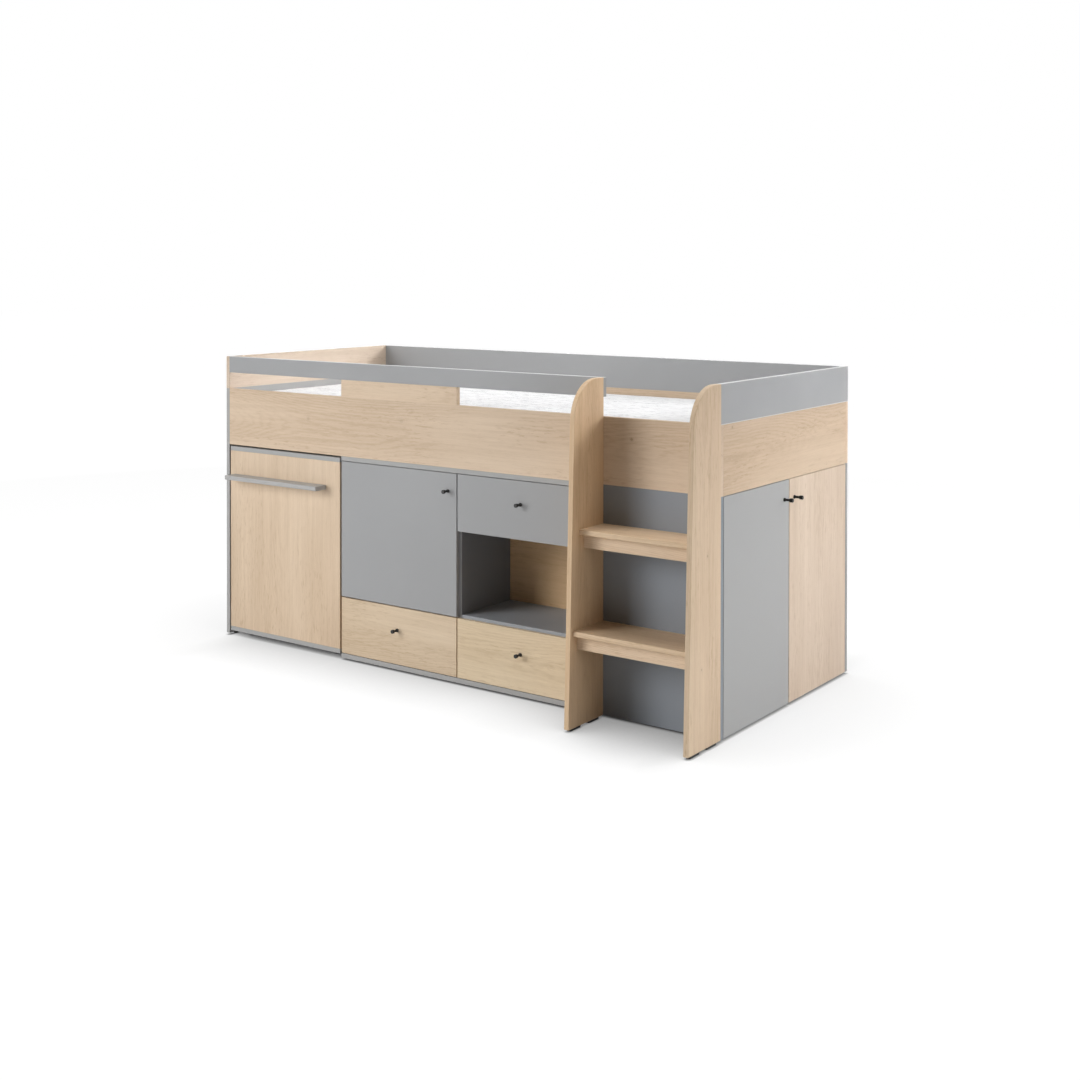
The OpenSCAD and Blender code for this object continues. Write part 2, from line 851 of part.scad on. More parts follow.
left_side_panel();
left_end_board();
right_end_rail();
right_end_guard();
front_rail();
guard_spacer();
front_guard();
back_rail();
back_guard();
slat_ledgers();
slats();
mattress();
ladder_stile_left();
ladder_stile_right();
ladder_treads();
ladder_aprons();
floor_gliders();
chest_top();
chest_bottom();
chest_side();
chest_divider();
wardrobe_side();
chest_fixed_shelves();
chest_back();
loose_shelves();
shelf_pins();
drawer_rails();
wardrobe_front_panel();
wardrobe_partition();
wardrobe_top();
wardrobe_floor();
wardrobe_back_panel();
hinge_arms();
desk_guides();
desk_top();
desk_front_panel();
desk_base();
desk_back_panel();
desk_side_panel();
desk_handle();
castor_brackets();
front_castor_wheels();
rear_castor_wheels();
cupboard_door();
cupboard_knob();
cupboard_hinge_cups();
upper_drawer_front();
upper_drawer_box();
upper_drawer_knob();
lower_left_drawer_front();
lower_left_drawer_box();
lower_left_drawer_knob();
lower_right_drawer_front();
lower_right_drawer_box();
lower_right_drawer_knob();
front_end_door();
front_end_door_fittings();
rear_end_door();
rear_end_door_fittings();
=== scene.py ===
"""Looks of a cabin bed: board finishes, mattress, small fittings, studio and camera.

Lengths are in metres in the part's own frame: X along the bed towards the wardrobe end,
Y from the front faces to the back, Z up from the floor.
"""

from __future__ import annotations

import json
import logging
import math
import random
import zlib
from dataclasses import dataclass
from enum import Enum

import bmesh
import bpy
from mathutils import Matrix, Vector, noise

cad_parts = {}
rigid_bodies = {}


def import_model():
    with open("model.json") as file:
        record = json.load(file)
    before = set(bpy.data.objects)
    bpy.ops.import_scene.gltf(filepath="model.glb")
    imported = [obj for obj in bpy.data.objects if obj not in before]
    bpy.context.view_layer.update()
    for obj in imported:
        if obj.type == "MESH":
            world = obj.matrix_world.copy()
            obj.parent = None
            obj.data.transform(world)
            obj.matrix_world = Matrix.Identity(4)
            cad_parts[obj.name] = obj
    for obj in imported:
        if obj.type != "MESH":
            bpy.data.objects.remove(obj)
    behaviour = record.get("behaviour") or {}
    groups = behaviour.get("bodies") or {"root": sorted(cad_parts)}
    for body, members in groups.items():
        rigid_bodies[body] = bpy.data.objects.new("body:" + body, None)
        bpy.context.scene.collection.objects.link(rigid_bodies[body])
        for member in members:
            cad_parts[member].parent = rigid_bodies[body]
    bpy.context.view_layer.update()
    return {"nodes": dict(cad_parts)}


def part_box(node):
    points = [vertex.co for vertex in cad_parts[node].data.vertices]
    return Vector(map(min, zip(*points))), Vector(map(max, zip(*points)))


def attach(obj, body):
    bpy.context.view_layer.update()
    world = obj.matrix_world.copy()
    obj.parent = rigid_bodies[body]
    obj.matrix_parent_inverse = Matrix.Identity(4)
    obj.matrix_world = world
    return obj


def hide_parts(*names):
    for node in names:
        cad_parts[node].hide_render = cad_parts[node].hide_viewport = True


LOG = logging.getLogger("cabin_bed")
Colour = tuple[float, float, float]
Point = tuple[float, float, float]
Box = tuple[Point, Point]
Socket = bpy.types.NodeSocket
Sockets = dict[str, Socket]
ORIGIN = (0.0, 0.0, 0.0)
WHITE_LIGHT = (1.0, 1.0, 1.0)
SEEDS = (3.0, 60.0)


class Axis(Enum):
    """Direction in which the grain of a board runs."""

    X = 0
    Y = 1
    Z = 2


class Kind(Enum):
    """Type of a socket of a shader node group."""

    FLOAT = "NodeSocketFloat"
    COLOUR = "NodeSocketColor"
    VECTOR = "NodeSocketVector"


# ---------------------------------------------------------------- node wiring


@dataclass
class Wiring:
    """Adds nodes to one node tree and joins them.

    Attributes:
        tree: The material's or group's node tree.
    """

    tree: bpy.types.NodeTree

    def add(
        self, kind: str, inputs: dict[int | str, object] | None = None, **settings: object
    ) -> bpy.types.Node:
        """Adds a node.

        Args:
            kind: Blender's name of the node's type.
            inputs: Values or sockets for its inputs, by name or number.
            **settings: Properties of the node itself.

        Returns:
            The new node.
        """
        made = self.tree.nodes.new(kind)
        for key, value in settings.items():
            setattr(made, key, value)
        for key, value in (inputs or {}).items():
            socket = made.inputs[key]
            if isinstance(value, Socket):
                self.tree.links.new(value, socket)
            else:
                socket.default_value = (*value, 1.0) if socket.type == "RGBA" else value
        return made

    def math(self, operation: str, a: object, b: object = 0.0, c: object = 0.0) -> Socket:
        """Returns what a Math node makes of up to three terms, each a number or a socket."""
        return self.add("ShaderNodeMath", {0: a, 1: b, 2: c}, operation=operation).outputs[0]

    def times(self, a: object, b: object) -> Socket:
        """Returns a times b."""
        return self.math("MULTIPLY", a, b)

    def onto(self, base: object, a: object, share: object) -> Socket:
        """Returns the base with a share of a added to it."""
        return self.math("MULTIPLY_ADD", a, share, base)

    def length(self, a: object, b: object) -> Socket:
        """Returns the length of the hypotenuse over a and b."""
        return self.math("SQRT", self.math("ADD", self.times(a, a), self.times(b, b)))

    def split(self, vector: Socket) -> bpy.types.bpy_prop_collection:
        """Returns the three parts of a vector."""
        return self.add("ShaderNodeSeparateXYZ", {0: vector}).outputs

    def ramp(
        self, value: Socket, low: float, high: float, to_low: float = 0.0, to_high: float = 1.0
    ) -> Socket:
        """Returns to_low where the value is up to low, to_high from high on, and eases between."""
        inputs = {0: value, 1: low, 2: high, 3: to_low, 4: to_high}
        return self.add("ShaderNodeMapRange", inputs, interpolation_type="SMOOTHSTEP").outputs[0]

    def blend(self, factor: Socket, a: object, b: object) -> Socket:
        """Returns two colours mixed, with the factor as the share of the second one."""
        return self.add("ShaderNodeMix", {0: factor, 6: a, 7: b}, data_type="RGBA").outputs[2]


@dataclass(frozen=True)
class Layer:
    """One soft noise of a finish.

    Attributes:
        stretch: Its fineness along each axis, in cells per metre.
        low: Noise below which it doesn't show.
        high: Noise above which it shows in full.
        share: Its weight in the tone of the finish.
        detail: How many finer noises lie on it.
        roughness: Strength of the finer noises.
        least: How much of it always shows.
    """

    stretch: Point
    low: float = 0.0
    high: float = 1.0
    share: float = 1.0
    detail: float = 2.0
    roughness: float = 0.5
    least: float = 0.0

    def raw(self, net: Wiring, place: Socket, shift: object = ORIGIN, output: int = 0) -> Socket:
        """Draws the noise as it is.

        Args:
            net: Wiring that receives it.
            place: Coordinates in metres.
            shift: What is added to the stretched coordinates.
            output: 0 for a value, 1 for three values in a colour.

        Returns:
            The noise.
        """
        terms = {0: place, 1: self.stretch, 2: shift}
        spot = net.add("ShaderNodeVectorMath", terms, operation="MULTIPLY_ADD").outputs[0]
        look = {"Vector": spot, "Scale": 1.0, "Detail": self.detail, "Roughness": self.roughness}
        return net.add("ShaderNodeTexNoise", look).outputs[output]

    def shown(self, net: Wiring, raw: Socket) -> Socket:
        """Returns how much of the noise shows."""
        return net.ramp(raw, self.low, self.high, self.least)

    def drawn(self, net: Wiring, place: Socket, shift: object = ORIGIN) -> Socket:
        """Draws the noise and returns how much of it shows."""
        return self.shown(net, self.raw(net, place, shift))


class Effect:
    """A shader node group that several finishes share, built once and then placed.

    Attributes:
        name: Name of the group.
        takes: Its inputs, as name to type and value at the start.
        gives: Its outputs, as name to type.
    """

    name: str
    takes: dict[str, tuple[Kind, object]]
    gives: dict[str, Kind]

    def wire(self, net: Wiring, given: Sockets) -> Sockets:
        """Draws the inside of the group; each effect has its own."""
        raise NotImplementedError

    def place(self, net: Wiring, inputs: dict[str, object]) -> bpy.types.bpy_prop_collection:
        """Places the group in a material.

        Args:
            net: Wiring of the material.
            inputs: Values or sockets for the group's inputs.

        Returns:
            The outputs of the placed group.
        """
        tree = bpy.data.node_groups.get(self.name)
        if tree is None:
            tree = bpy.data.node_groups.new(self.name, "ShaderNodeTree")
            for label, (kind, value) in self.takes.items():
                socket = tree.interface.new_socket(
                    name=label, in_out="INPUT", socket_type=kind.value
                )
                if kind is not Kind.VECTOR:
                    socket.default_value = (*value, 1.0) if kind is Kind.COLOUR else value
            for label, kind in self.gives.items():
                tree.interface.new_socket(name=label, in_out="OUTPUT", socket_type=kind.value)
            inner = Wiring(tree)
            entry = inner.add("NodeGroupInput").outputs
            given = {label: entry[label] for label in self.takes}
            inner.add("NodeGroupOutput", self.wire(inner, given))
        return net.add("ShaderNodeGroup", inputs, node_tree=tree).outputs


class WoodFigure(Effect):
    """Growth rings, streaks, fibres, flecks and pores of sawn wood.

    Its coordinates are (along the grain, across it, into the board), in metres from the
    board's middle.
    """

    name = "wood_figure"
    takes = {
        "Vector": (Kind.VECTOR, None),
        "Seed": (Kind.FLOAT, 0.0),
        "Ring Gap": (Kind.FLOAT, 0.007),
        "Contrast": (Kind.FLOAT, 1.0),
        "Light": (Kind.COLOUR, (0.74, 0.60, 0.48)),
        "Dark": (Kind.COLOUR, (0.56, 0.43, 0.31)),
    }
    gives = {"Color": Kind.COLOUR, "Height": Kind.FLOAT, "Gloss": Kind.FLOAT}
    wander = Layer((0.9, 0.2, 0.2), detail=1.0)
    wander_across, heart_across = 0.12, -0.06
    wander_depth, heart_depth = 0.16, 0.035
    wobble = Layer((9.0, 60.0, 60.0), share=0.011, detail=4.0, roughness=0.66)
    ring_sharpness = 2.2
    calm = Layer((1.1, 5.0, 5.0), 0.36, 0.66, 0.26)
    streak = Layer((1.6, 48.0, 48.0), 0.3, 0.72, 0.20, 3.0, 0.6)
    band = Layer((3.2, 120.0, 120.0), 0.3, 0.72, 0.12, 2.0, 0.6)
    fibre = Layer((7.0, 420.0, 420.0), 0.3, 0.75, 0.14, 3.0, 0.6)
    cloud = Layer((1.0, 4.2, 4.2), 0.3, 0.7, 0.30)
    pore = Layer((38.0, 1250.0, 1250.0), 0.60, 0.72, 0.20, 1.0)
    fleck = Layer((26.0, 190.0, 190.0), 0.54, 0.68, 0.42, 2.0, 0.6)
    patch = Layer((2.4, 11.0, 11.0), 0.46, 0.62, least=0.30)
    middle_tone = 0.42
    fibre_height = 0.35
    gloss_from, gloss_by = (0.2, 0.8), (-0.05, 0.05)

    def wire(self, net: Wiring, given: Sockets) -> Sockets:
        """Draws the group.

        Args:
            net: Wiring of its inside.
            given: Its input sockets by name.

        Returns:
            The sockets that feed its outputs, by name.
        """
        place = given["Vector"]
        seed = net.add("ShaderNodeCombineXYZ", {i: given["Seed"] for i in range(3)}).outputs[0]
        _, side, inward = net.split(place)
        wander = self.wander.raw(net, place, seed, output=1)
        drift = net.add("ShaderNodeSeparateColor", {0: wander}).outputs
        across = net.onto(net.math("ADD", side, self.heart_across), drift[0], self.wander_across)
        depth = net.onto(net.math("ADD", inward, self.heart_depth), drift[1], self.wander_depth)
        wobble = self.wobble.raw(net, place, seed)
        radius = net.onto(net.length(across, depth), wobble, self.wobble.share)
        phase = net.math("DIVIDE", radius, given["Ring Gap"])
        wave = net.math("SINE", net.times(phase, math.tau))
        ring = net.math("POWER", net.onto(0.5, wave, 0.5), self.ring_sharpness)
        tone = net.times(net.times(ring, self.calm.drawn(net, place, seed)), self.calm.share)
        fibre = self.fibre.raw(net, place, seed)
        pore = self.pore.drawn(net, place, seed)
        fleck = net.times(self.fleck.drawn(net, place, seed), self.patch.drawn(net, place, seed))
        for layer, shown in (
            (self.streak, self.streak.drawn(net, place, seed)),
            (self.band, self.band.drawn(net, place, seed)),
            (self.fibre, self.fibre.shown(net, fibre)),
            (self.cloud, self.cloud.drawn(net, place, seed)),
            (self.pore, pore),
            (self.fleck, fleck),
        ):
            tone = net.onto(tone, shown, layer.share)
        away = net.math("SUBTRACT", tone, self.middle_tone)
        tone = net.onto(self.middle_tone, away, given["Contrast"])
        return {
            "Color": net.blend(tone, given["Light"], given["Dark"]),
            "Height": net.onto(net.times(fibre, self.fibre_height), pore, -1.0),
            "Gloss": net.ramp(fibre, *self.gloss_from, *self.gloss_by),
        }


class Knot(Effect):
    """A small grown-in knot: a dark heart in rings of turned grain, longer along the grain.

    Its distances are shares of the knot's size.
    """

    name = "wood_knot"
    takes = {
        "Color": (Kind.COLOUR, (0.7, 0.56, 0.44)),
        "Vector": (Kind.VECTOR, None),
        "Size": (Kind.FLOAT, 0.006),
        "Depth": (Kind.FLOAT, 0.6),
        "Heart": (Kind.COLOUR, (0.20, 0.115, 0.06)),
    }
    gives = {"Color": Kind.COLOUR}
    ripple = Layer((170.0, 260.0, 1.0), share=0.5)
    narrowing = 0.85
    heart_rim = (0.35, 1.0)
    ring_fade = (0.8, 3.4)
    ring_turn = 7.0
    ring_share = 0.28

    def wire(self, net: Wiring, given: Sockets) -> Sockets:
        """Draws the group.

        Args:
            net: Wiring of its inside.
            given: Its input sockets by name.

        Returns:
            The sockets that feed its outputs, by name.
        """
        along, across, _ = net.split(given["Vector"])
        ripple = self.ripple.raw(net, given["Vector"])
        reach = net.length(net.times(along, self.narrowing), across)
        away = net.math("DIVIDE", reach, given["Size"])
        away = net.math("SUBTRACT", away, self.ripple.share / 2)
        away = net.onto(away, ripple, self.ripple.share)
        heart = net.ramp(away, *self.heart_rim, 1.0, 0.0)
        wave = net.ramp(net.math("SINE", net.times(away, self.ring_turn)), -1.0, 1.0)
        ring = net.times(net.ramp(away, *self.ring_fade, 1.0, 0.0), wave)
        mask = net.math("MINIMUM", net.onto(heart, ring, self.ring_share), 1.0)
        mask = net.times(mask, given["Depth"])
        return {"Color": net.blend(mask, given["Color"], given["Heart"])}


class SatinSkin(Effect):
    """The pressed skin of coated board: faint clouding, fine peel and places polished by hands."""

    name = "satin_skin"
    takes = {
        "Vector": (Kind.VECTOR, None),
        "Color": (Kind.COLOUR, (0.4, 0.4, 0.4)),
        "Roughness": (Kind.FLOAT, 0.45),
        "Clouding": (Kind.FLOAT, 0.03),
    }
    gives = {"Color": Kind.COLOUR, "Roughness": Kind.FLOAT, "Height": Kind.FLOAT}
    cloud = Layer((3.1, 3.1, 3.1), 0.3, 0.7, detail=3.0)
    grit = Layer((900.0, 900.0, 900.0), 0.25, 0.75, 0.3, 1.0)
    peel = Layer((260.0, 260.0, 260.0))
    worn_from, worn_by = (0.35, 0.7), (0.04, -0.05)

    def wire(self, net: Wiring, given: Sockets) -> Sockets:
        """Draws the group.

        Args:
            net: Wiring of its inside.
            given: Its input sockets by name.

        Returns:
            The sockets that feed its outputs, by name.
        """
        cloud, grit, peel = (
            layer.raw(net, given["Vector"]) for layer in (self.cloud, self.grit, self.peel)
        )
        shades = (
            net.ramp(raw, layer.low, layer.high, -0.5, 0.5)
            for raw, layer in ((cloud, self.cloud), (grit, self.grit))
        )
        factor = net.onto(1.0, net.math("ADD", *shades), given["Clouding"])
        scaled = {0: given["Color"], 3: factor}
        tinted = net.add("ShaderNodeVectorMath", scaled, operation="SCALE").outputs[0]
        worn = net.ramp(cloud, *self.worn_from, *self.worn_by)
        return {
            "Color": tinted,
            "Roughness": net.math("ADD", given["Roughness"], worn),
            "Height": net.onto(peel, grit, self.grit.share),
        }


class InsideBox(Effect):
    """1 inside a box with the given corners and 0 outside it."""

    name = "inside_box"
    takes = {label: (Kind.VECTOR, None) for label in ("Vector", "Low", "High")}
    gives = {"Mask": Kind.FLOAT}

    def wire(self, net: Wiring, given: Sockets) -> Sockets:
        """Draws the group.

        Args:
            net: Wiring of its inside.
            given: Its input sockets by name.

        Returns:
            The socket that feeds its output.
        """
        mask = None
        for value, low, high in zip(*(net.split(given[label]) for label in self.takes)):
            over, under = net.math("GREATER_THAN", value, low), net.math("LESS_THAN", value, high)
            both = net.times(over, under)
            mask = both if mask is None else net.times(mask, both)
        return {"Mask": mask}


class Melange(Effect):
    """Knitted ticking: fine grey threads that come and go in a white ground, and rows of loops."""

    name = "melange_knit"
    takes = {
        "Vector": (Kind.VECTOR, None),
        "Ground": (Kind.COLOUR, (0.86, 0.86, 0.86)),
        "Thread": (Kind.COLOUR, (0.55, 0.55, 0.56)),
    }
    gives = {"Color": Kind.COLOUR, "Height": Kind.FLOAT}
    cluster = Layer((24.0, 76.0, 76.0), 0.40, 0.72, roughness=0.6)
    thread = Layer((70.0, 600.0, 600.0), 0.46, 0.58, roughness=0.6)
    row_pitch, loop_pitch = 0.0022, 0.0016
    knit_level, knit_swing = 0.5, 0.25
    knit_share = 0.05

    def wire(self, net: Wiring, given: Sockets) -> Sockets:
        """Draws the group.

        Args:
            net: Wiring of its inside.
            given: Its input sockets by name.

        Returns:
            The sockets that feed its outputs, by name.
        """
        place = given["Vector"]
        dash = net.times(*(layer.drawn(net, place) for layer in (self.cluster, self.thread)))
        x, y, _ = net.split(place)
        waves = (
            net.math("SINE", net.times(value, math.tau / pitch))
            for value, pitch in ((y, self.loop_pitch), (x, self.row_pitch))
        )
        knit = net.onto(self.knit_level, net.times(*waves), self.knit_swing)
        tone = net.onto(dash, knit, self.knit_share)
        return {"Color": net.blend(tone, given["Ground"], given["Thread"]), "Height": knit}


WOOD_FIGURE, KNOT, SATIN_SKIN = WoodFigure(), Knot(), SatinSkin()
INSIDE_BOX, MELANGE = InsideBox(), Melange()


# ---------------------------------------------------------------- finishes


def principled(
    net: Wiring, values: dict[str, object], height: Socket, relief: float, bump: float
) -> None:
    """Ends a material with its Principled BSDF.

    Args:
        net: Wiring of the material.
        values: Values or sockets for the shader's inputs.
        height: Socket that holds the relief.
        relief: Depth of the relief in metres.
        bump: How much of the relief shows.
    """
    look = {"Height": height, "Distance": relief, "Strength": bump}
    normal = net.add("ShaderNodeBump", look).outputs[0]
    shader = net.add("ShaderNodeBsdfPrincipled", {**values, "Normal": normal})
    net.add("ShaderNodeOutputMaterial", {"Surface": shader.outputs[0]})


def satin(
    net: Wiring, skin: dict[str, object], values: dict[str, object], relief: float, bump: float
) -> None:
    """Ends a material with a satin skin.

    Args:
        net: Wiring of the material.
        skin: Values or sockets for the skin's inputs.
        values: Further values or sockets for the shader's inputs.
        relief: Depth of the skin's relief in metres.
        bump: How much of the relief shows.
    """
    laid = SATIN_SKIN.place(net, skin)
    seen = {"Base Color": laid["Color"], "Roughness": laid["Roughness"]}
    principled(net, {**seen, **values}, laid["Height"], relief, bump)


def new_material(name: str) -> tuple[bpy.types.Material, Wiring, Socket]:
    """Starts a material.

    Args:
        name: Name of the material.

    Returns:
        The material, its wiring and the socket with the piece's own coordinates.
    """
    made = bpy.data.materials.new(name)
    made.use_nodes = True
    made.node_tree.nodes.clear()
    net = Wiring(made.node_tree)
    return made, net, net.add("ShaderNodeTexCoord").outputs["Object"]


@dataclass(frozen=True)
class KnotMark:
    """Where a board shows a knot.

    Attributes:
        place: Its middle in the part's frame.
        size: Radius of its heart.
        depth: How dark it is, from 0 to 1.
    """

    place: Point
    size: float
    depth: float


@dataclass(frozen=True)
class WoodBoard:
    """How one board shows its wood.

    Attributes:
        name: Name of its node.
        grain: Direction of its grain.
        painted_shading: Factors on its wood's colours that paint it paler where lit, deeper where
            shaded.
        knots: The knots that it shows.
    """

    name: str
    grain: Axis
    painted_shading: Colour = (1.0, 1.0, 1.0)
    knots: tuple[KnotMark, ...] = ()


@dataclass(frozen=True)
class WoodFinish:
    """A board with wood figure, real or printed.

    Attributes:
        name: Name of the finish.
        light: Colour of the pale wood.
        dark: Colour of its rings and pores.
        ring_gap: Distance between growth rings.
        contrast: Strength of the figure.
        roughness: Roughness of the surface.
        relief: How deep the pores feel.
        bump: How much of the relief shows.
        clouding: How much its colour varies besides the figure.
        specular: Strength of its reflection.
        skin_share: Weight of the skin's relief beside that of the pores.
    """

    name: str
    light: Colour
    dark: Colour
    ring_gap: float
    contrast: float = 1.0
    roughness: float = 0.42
    relief: float = 0.00008
    bump: float = 0.35
    clouding: float = 0.015
    specular: float = 0.16
    skin_share: float = 0.2

    def material(self, node: bpy.types.Object, board: WoodBoard) -> bpy.types.Material:
        """Makes the material for one board, with its own stretch of figure.

        Args:
            node: The board.
            board: How it shows its wood.

        Returns:
            The material.
        """
        low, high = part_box(node.name)
        size, middle = high - low, (low + high) / 2
        across = sorted((a for a in range(3) if a != board.grain.value), key=lambda a: -size[a])
        order = (board.grain.value, *across)
        made, net, place = new_material(f"{self.name}_{node.name}")
        # Painted light and shade: the board's own factors make its wood paler or deeper by how it
        # is lit.
        light, dark = (
            tuple(a * b for a, b in zip(colour, board.painted_shading)) for colour in (self.light, self.dark)
        )
        look = {
            "Vector": self._laid(net, place, middle, order),
            "Seed": random.Random(zlib.crc32(node.name.encode())).uniform(*SEEDS),
            "Ring Gap": self.ring_gap,
            "Contrast": self.contrast,
            "Light": light,
            "Dark": dark,
        }
        figure = WOOD_FIGURE.place(net, look)
        colour = figure["Color"]
        for mark in board.knots:
            spot = self._laid(net, place, mark.place, order)
            look = {"Color": colour, "Vector": spot, "Size": mark.size, "Depth": mark.depth}
            colour = KNOT.place(net, look)["Color"]
        look = {
            "Vector": place,
            "Color": colour,
            "Roughness": self.roughness,
            "Clouding": self.clouding,
        }
        skin = SATIN_SKIN.place(net, look)
        values = {
            "Base Color": skin["Color"],
            "Roughness": net.math("ADD", skin["Roughness"], figure["Gloss"]),
            "Specular IOR Level": self.specular,
        }
        height = net.onto(figure["Height"], skin["Height"], self.skin_share)
        principled(net, values, height, self.relief, self.bump)
        return made

    def _laid(
        self, net: Wiring, point: Socket, origin: Point, order: tuple[int, int, int]
    ) -> Socket:
        """Lays coordinates along the grain.

        Args:
            net: Wiring of the material.
            point: Coordinates in the part's frame.
            origin: Where the new ones start.
            order: Numbers of the axes along the grain, across it and into the board.

        Returns:
            The coordinates from the origin, in that order.
        """
        moved = net.add("ShaderNodeVectorMath", {0: point, 1: origin}, operation="SUBTRACT")
        axes = net.split(moved.outputs[0])
        turned = {i: axes[a] for i, a in enumerate(order)}
        return net.add("ShaderNodeCombineXYZ", turned).outputs[0]


@dataclass(frozen=True)
class PlainFinish:
    """A finish of one colour: coated board, plastic, rubber or metal.

    Attributes:
        name: Name of the finish.
        colour: Its colour.
        roughness: Its roughness.
        clouding: How much its colour varies.
        relief: Depth of its fine relief.
        bump: How much of the relief shows.
        metallic: 1 for bare metal.
        specular: Strength of its reflection.
        on_board: Whether it covers boards, whose edges are eased.
    """

    name: str
    colour: Colour
    roughness: float
    clouding: float = 0.03
    relief: float = 0.00004
    bump: float = 0.4
    metallic: float = 0.0
    specular: float = 0.22
    on_board: bool = False

    def material(self) -> bpy.types.Material:
        """Makes the material, or finds it where it is already made.

        Returns:
            The material.
        """
        made = bpy.data.materials.get(self.name)
        if made is None:
            made, net, place = new_material(self.name)
            skin = {
                "Vector": place,
                "Color": self.colour,
                "Roughness": self.roughness,
                "Clouding": self.clouding,
            }
            values = {"Metallic": self.metallic, "Specular IOR Level": self.specular}
            satin(net, skin, values, self.relief, self.bump)
        return made


@dataclass(frozen=True)
class TwoPartFinish:
    """Two plain finishes on one node: the second one shows inside some boxes.

    Attributes:
        name: Name of the finish.
        ground: Finish outside the boxes.
        inset: Finish inside the boxes.
        clouding: How much its colours vary.
        relief: Depth of its fine relief.
        bump: How much of the relief shows.
    """

    name: str
    ground: PlainFinish
    inset: PlainFinish
    clouding: float = 0.03
    relief: float = 0.00003
    bump: float = 0.3

    def cover(self, node: bpy.types.Object, *boxes: Box) -> None:
        """Makes the material for one node and puts it on.

        Args:
            node: The node that wears it.
            *boxes: Lowest and highest corner of each box, in the part's frame.
        """
        made, net, place = new_material(f"{self.name}_{node.name}")
        mask = None
        for low, high in boxes:
            inside = INSIDE_BOX.place(net, {"Vector": place, "Low": low, "High": high})[0]
            mask = inside if mask is None else net.math("MAXIMUM", mask, inside)
        ground, inset = self.ground, self.inset
        skin = {
            "Vector": place,
            "Color": net.blend(mask, ground.colour, inset.colour),
            "Roughness": self._mixed(net, mask, ground.roughness, inset.roughness),
            "Clouding": self.clouding,
        }
        metal = self._mixed(net, mask, ground.metallic, inset.metallic)
        values = {"Metallic": metal, "Specular IOR Level": ground.specular}
        satin(net, skin, values, self.relief, self.bump)
        wear(node, made)

    def _mixed(self, net: Wiring, mask: Socket, outside: float, inside: float) -> float | Socket:
        """Follows the mask where both finishes differ, and stays a plain number elsewhere."""
        return outside if outside == inside else net.ramp(mask, 0.0, 1.0, outside, inside)


@dataclass(frozen=True)
class TickingFinish:
    """The mattress's white melange knit.

    Attributes:
        name: Name of the finish.
        ground: Colour of the ground.
        thread: Colour of the grey threads.
        roughness: Roughness of the fibres.
        specular: Strength of their reflection.
        sheen: Strength and roughness of the fine fuzz.
        relief: Depth of the loops.
        bump: How much of the relief shows.
    """

    name: str = "mattress_ticking"
    ground: Colour = (0.90, 0.90, 0.905)
    thread: Colour = (0.33, 0.33, 0.34)
    roughness: float = 0.85
    specular: float = 0.2
    sheen: tuple[float, float] = (0.25, 0.5)
    relief: float = 0.0005
    bump: float = 0.5

    def material(self) -> bpy.types.Material:
        """Makes the material.

        Returns:
            The material.
        """
        made, net, place = new_material(self.name)
        look = {"Vector": place, "Ground": self.ground, "Thread": self.thread}
        knit = MELANGE.place(net, look)
        values = {
            "Base Color": knit["Color"],
            "Roughness": self.roughness,
            "Specular IOR Level": self.specular,
            "Sheen Weight": self.sheen[0],
            "Sheen Roughness": self.sheen[1],
        }
        principled(net, values, knit["Height"], self.relief, self.bump)
        return made


def laminate(name: str, colour: Colour) -> PlainFinish:
    """Returns the finish of a board with a satin grey face."""
    return PlainFinish(name, colour, roughness=0.44, clouding=0.02, on_board=True)


OAK = WoodFinish("oak_laminate", (0.722, 0.578, 0.432), (0.552, 0.412, 0.282), 0.0052, 1.25)
PINE = WoodFinish(
    "pine", (0.80, 0.66, 0.45), (0.60, 0.42, 0.23), 0.005, roughness=0.6, relief=0.0002
)
GREY = laminate("grey_laminate", (0.372, 0.377, 0.384))
# Painted shade: a darker copy of the grey for the door, drawer front and guard that face the
# front.
FRONTS_SHADED_LAMINATE = laminate("front_grey_laminate", (0.340, 0.345, 0.352))
# Painted light: a paler copy of the grey for the desk handle, for the light that falls on it.
HANDLE_LIT_LAMINATE = laminate("handle_grey", (0.410, 0.405, 0.400))
# Painted shade: a much darker, bluer copy of the grey for the wardrobe panel in the ladder's
# shade.
LADDER_SHADOW_LAMINATE = laminate("deep_grey_laminate", (0.254, 0.279, 0.313))
# Painted shade: a darker, cooler copy of the grey for the fixed shelves, whose niche floor lies in
# shade.
NICHE_FLOOR_SHADE_LAMINATE = laminate("cool_grey_laminate", (0.338, 0.358, 0.386))
# Painted shade: a very dark, bluish copy of the grey for the divider's faces in the shaded niche.
NICHE_WALL_SHADE_LAMINATE = laminate("shade_grey_laminate", (0.180, 0.196, 0.220))
WHITE = PlainFinish("white_board", (0.78, 0.78, 0.765), 0.5, on_board=True)
# Painted highlight: a pale grey that stands in for the light caught by the guards' edges.
EDGE_HIGHLIGHT = PlainFinish("pale_edging", (0.62, 0.625, 0.63), 0.4)
STEEL = PlainFinish("zinc_steel", (0.60, 0.61, 0.63), 0.34, clouding=0.10, metallic=1.0)
BLACK_METAL = PlainFinish("black_metal", (0.003, 0.003, 0.003), 0.5, 0.2, specular=0.03)
BLACK_PLASTIC = PlainFinish("black_plastic", (0.014, 0.014, 0.014), 0.55, 0.2, relief=0.0001)
RUBBER = PlainFinish("black_rubber", (0.022, 0.022, 0.023), 0.68, 0.2, relief=0.0001)
NYLON = PlainFinish("white_nylon", (0.72, 0.72, 0.69), 0.4)
PIPING = PlainFinish("piping_tape", (0.80, 0.80, 0.805), 0.8)


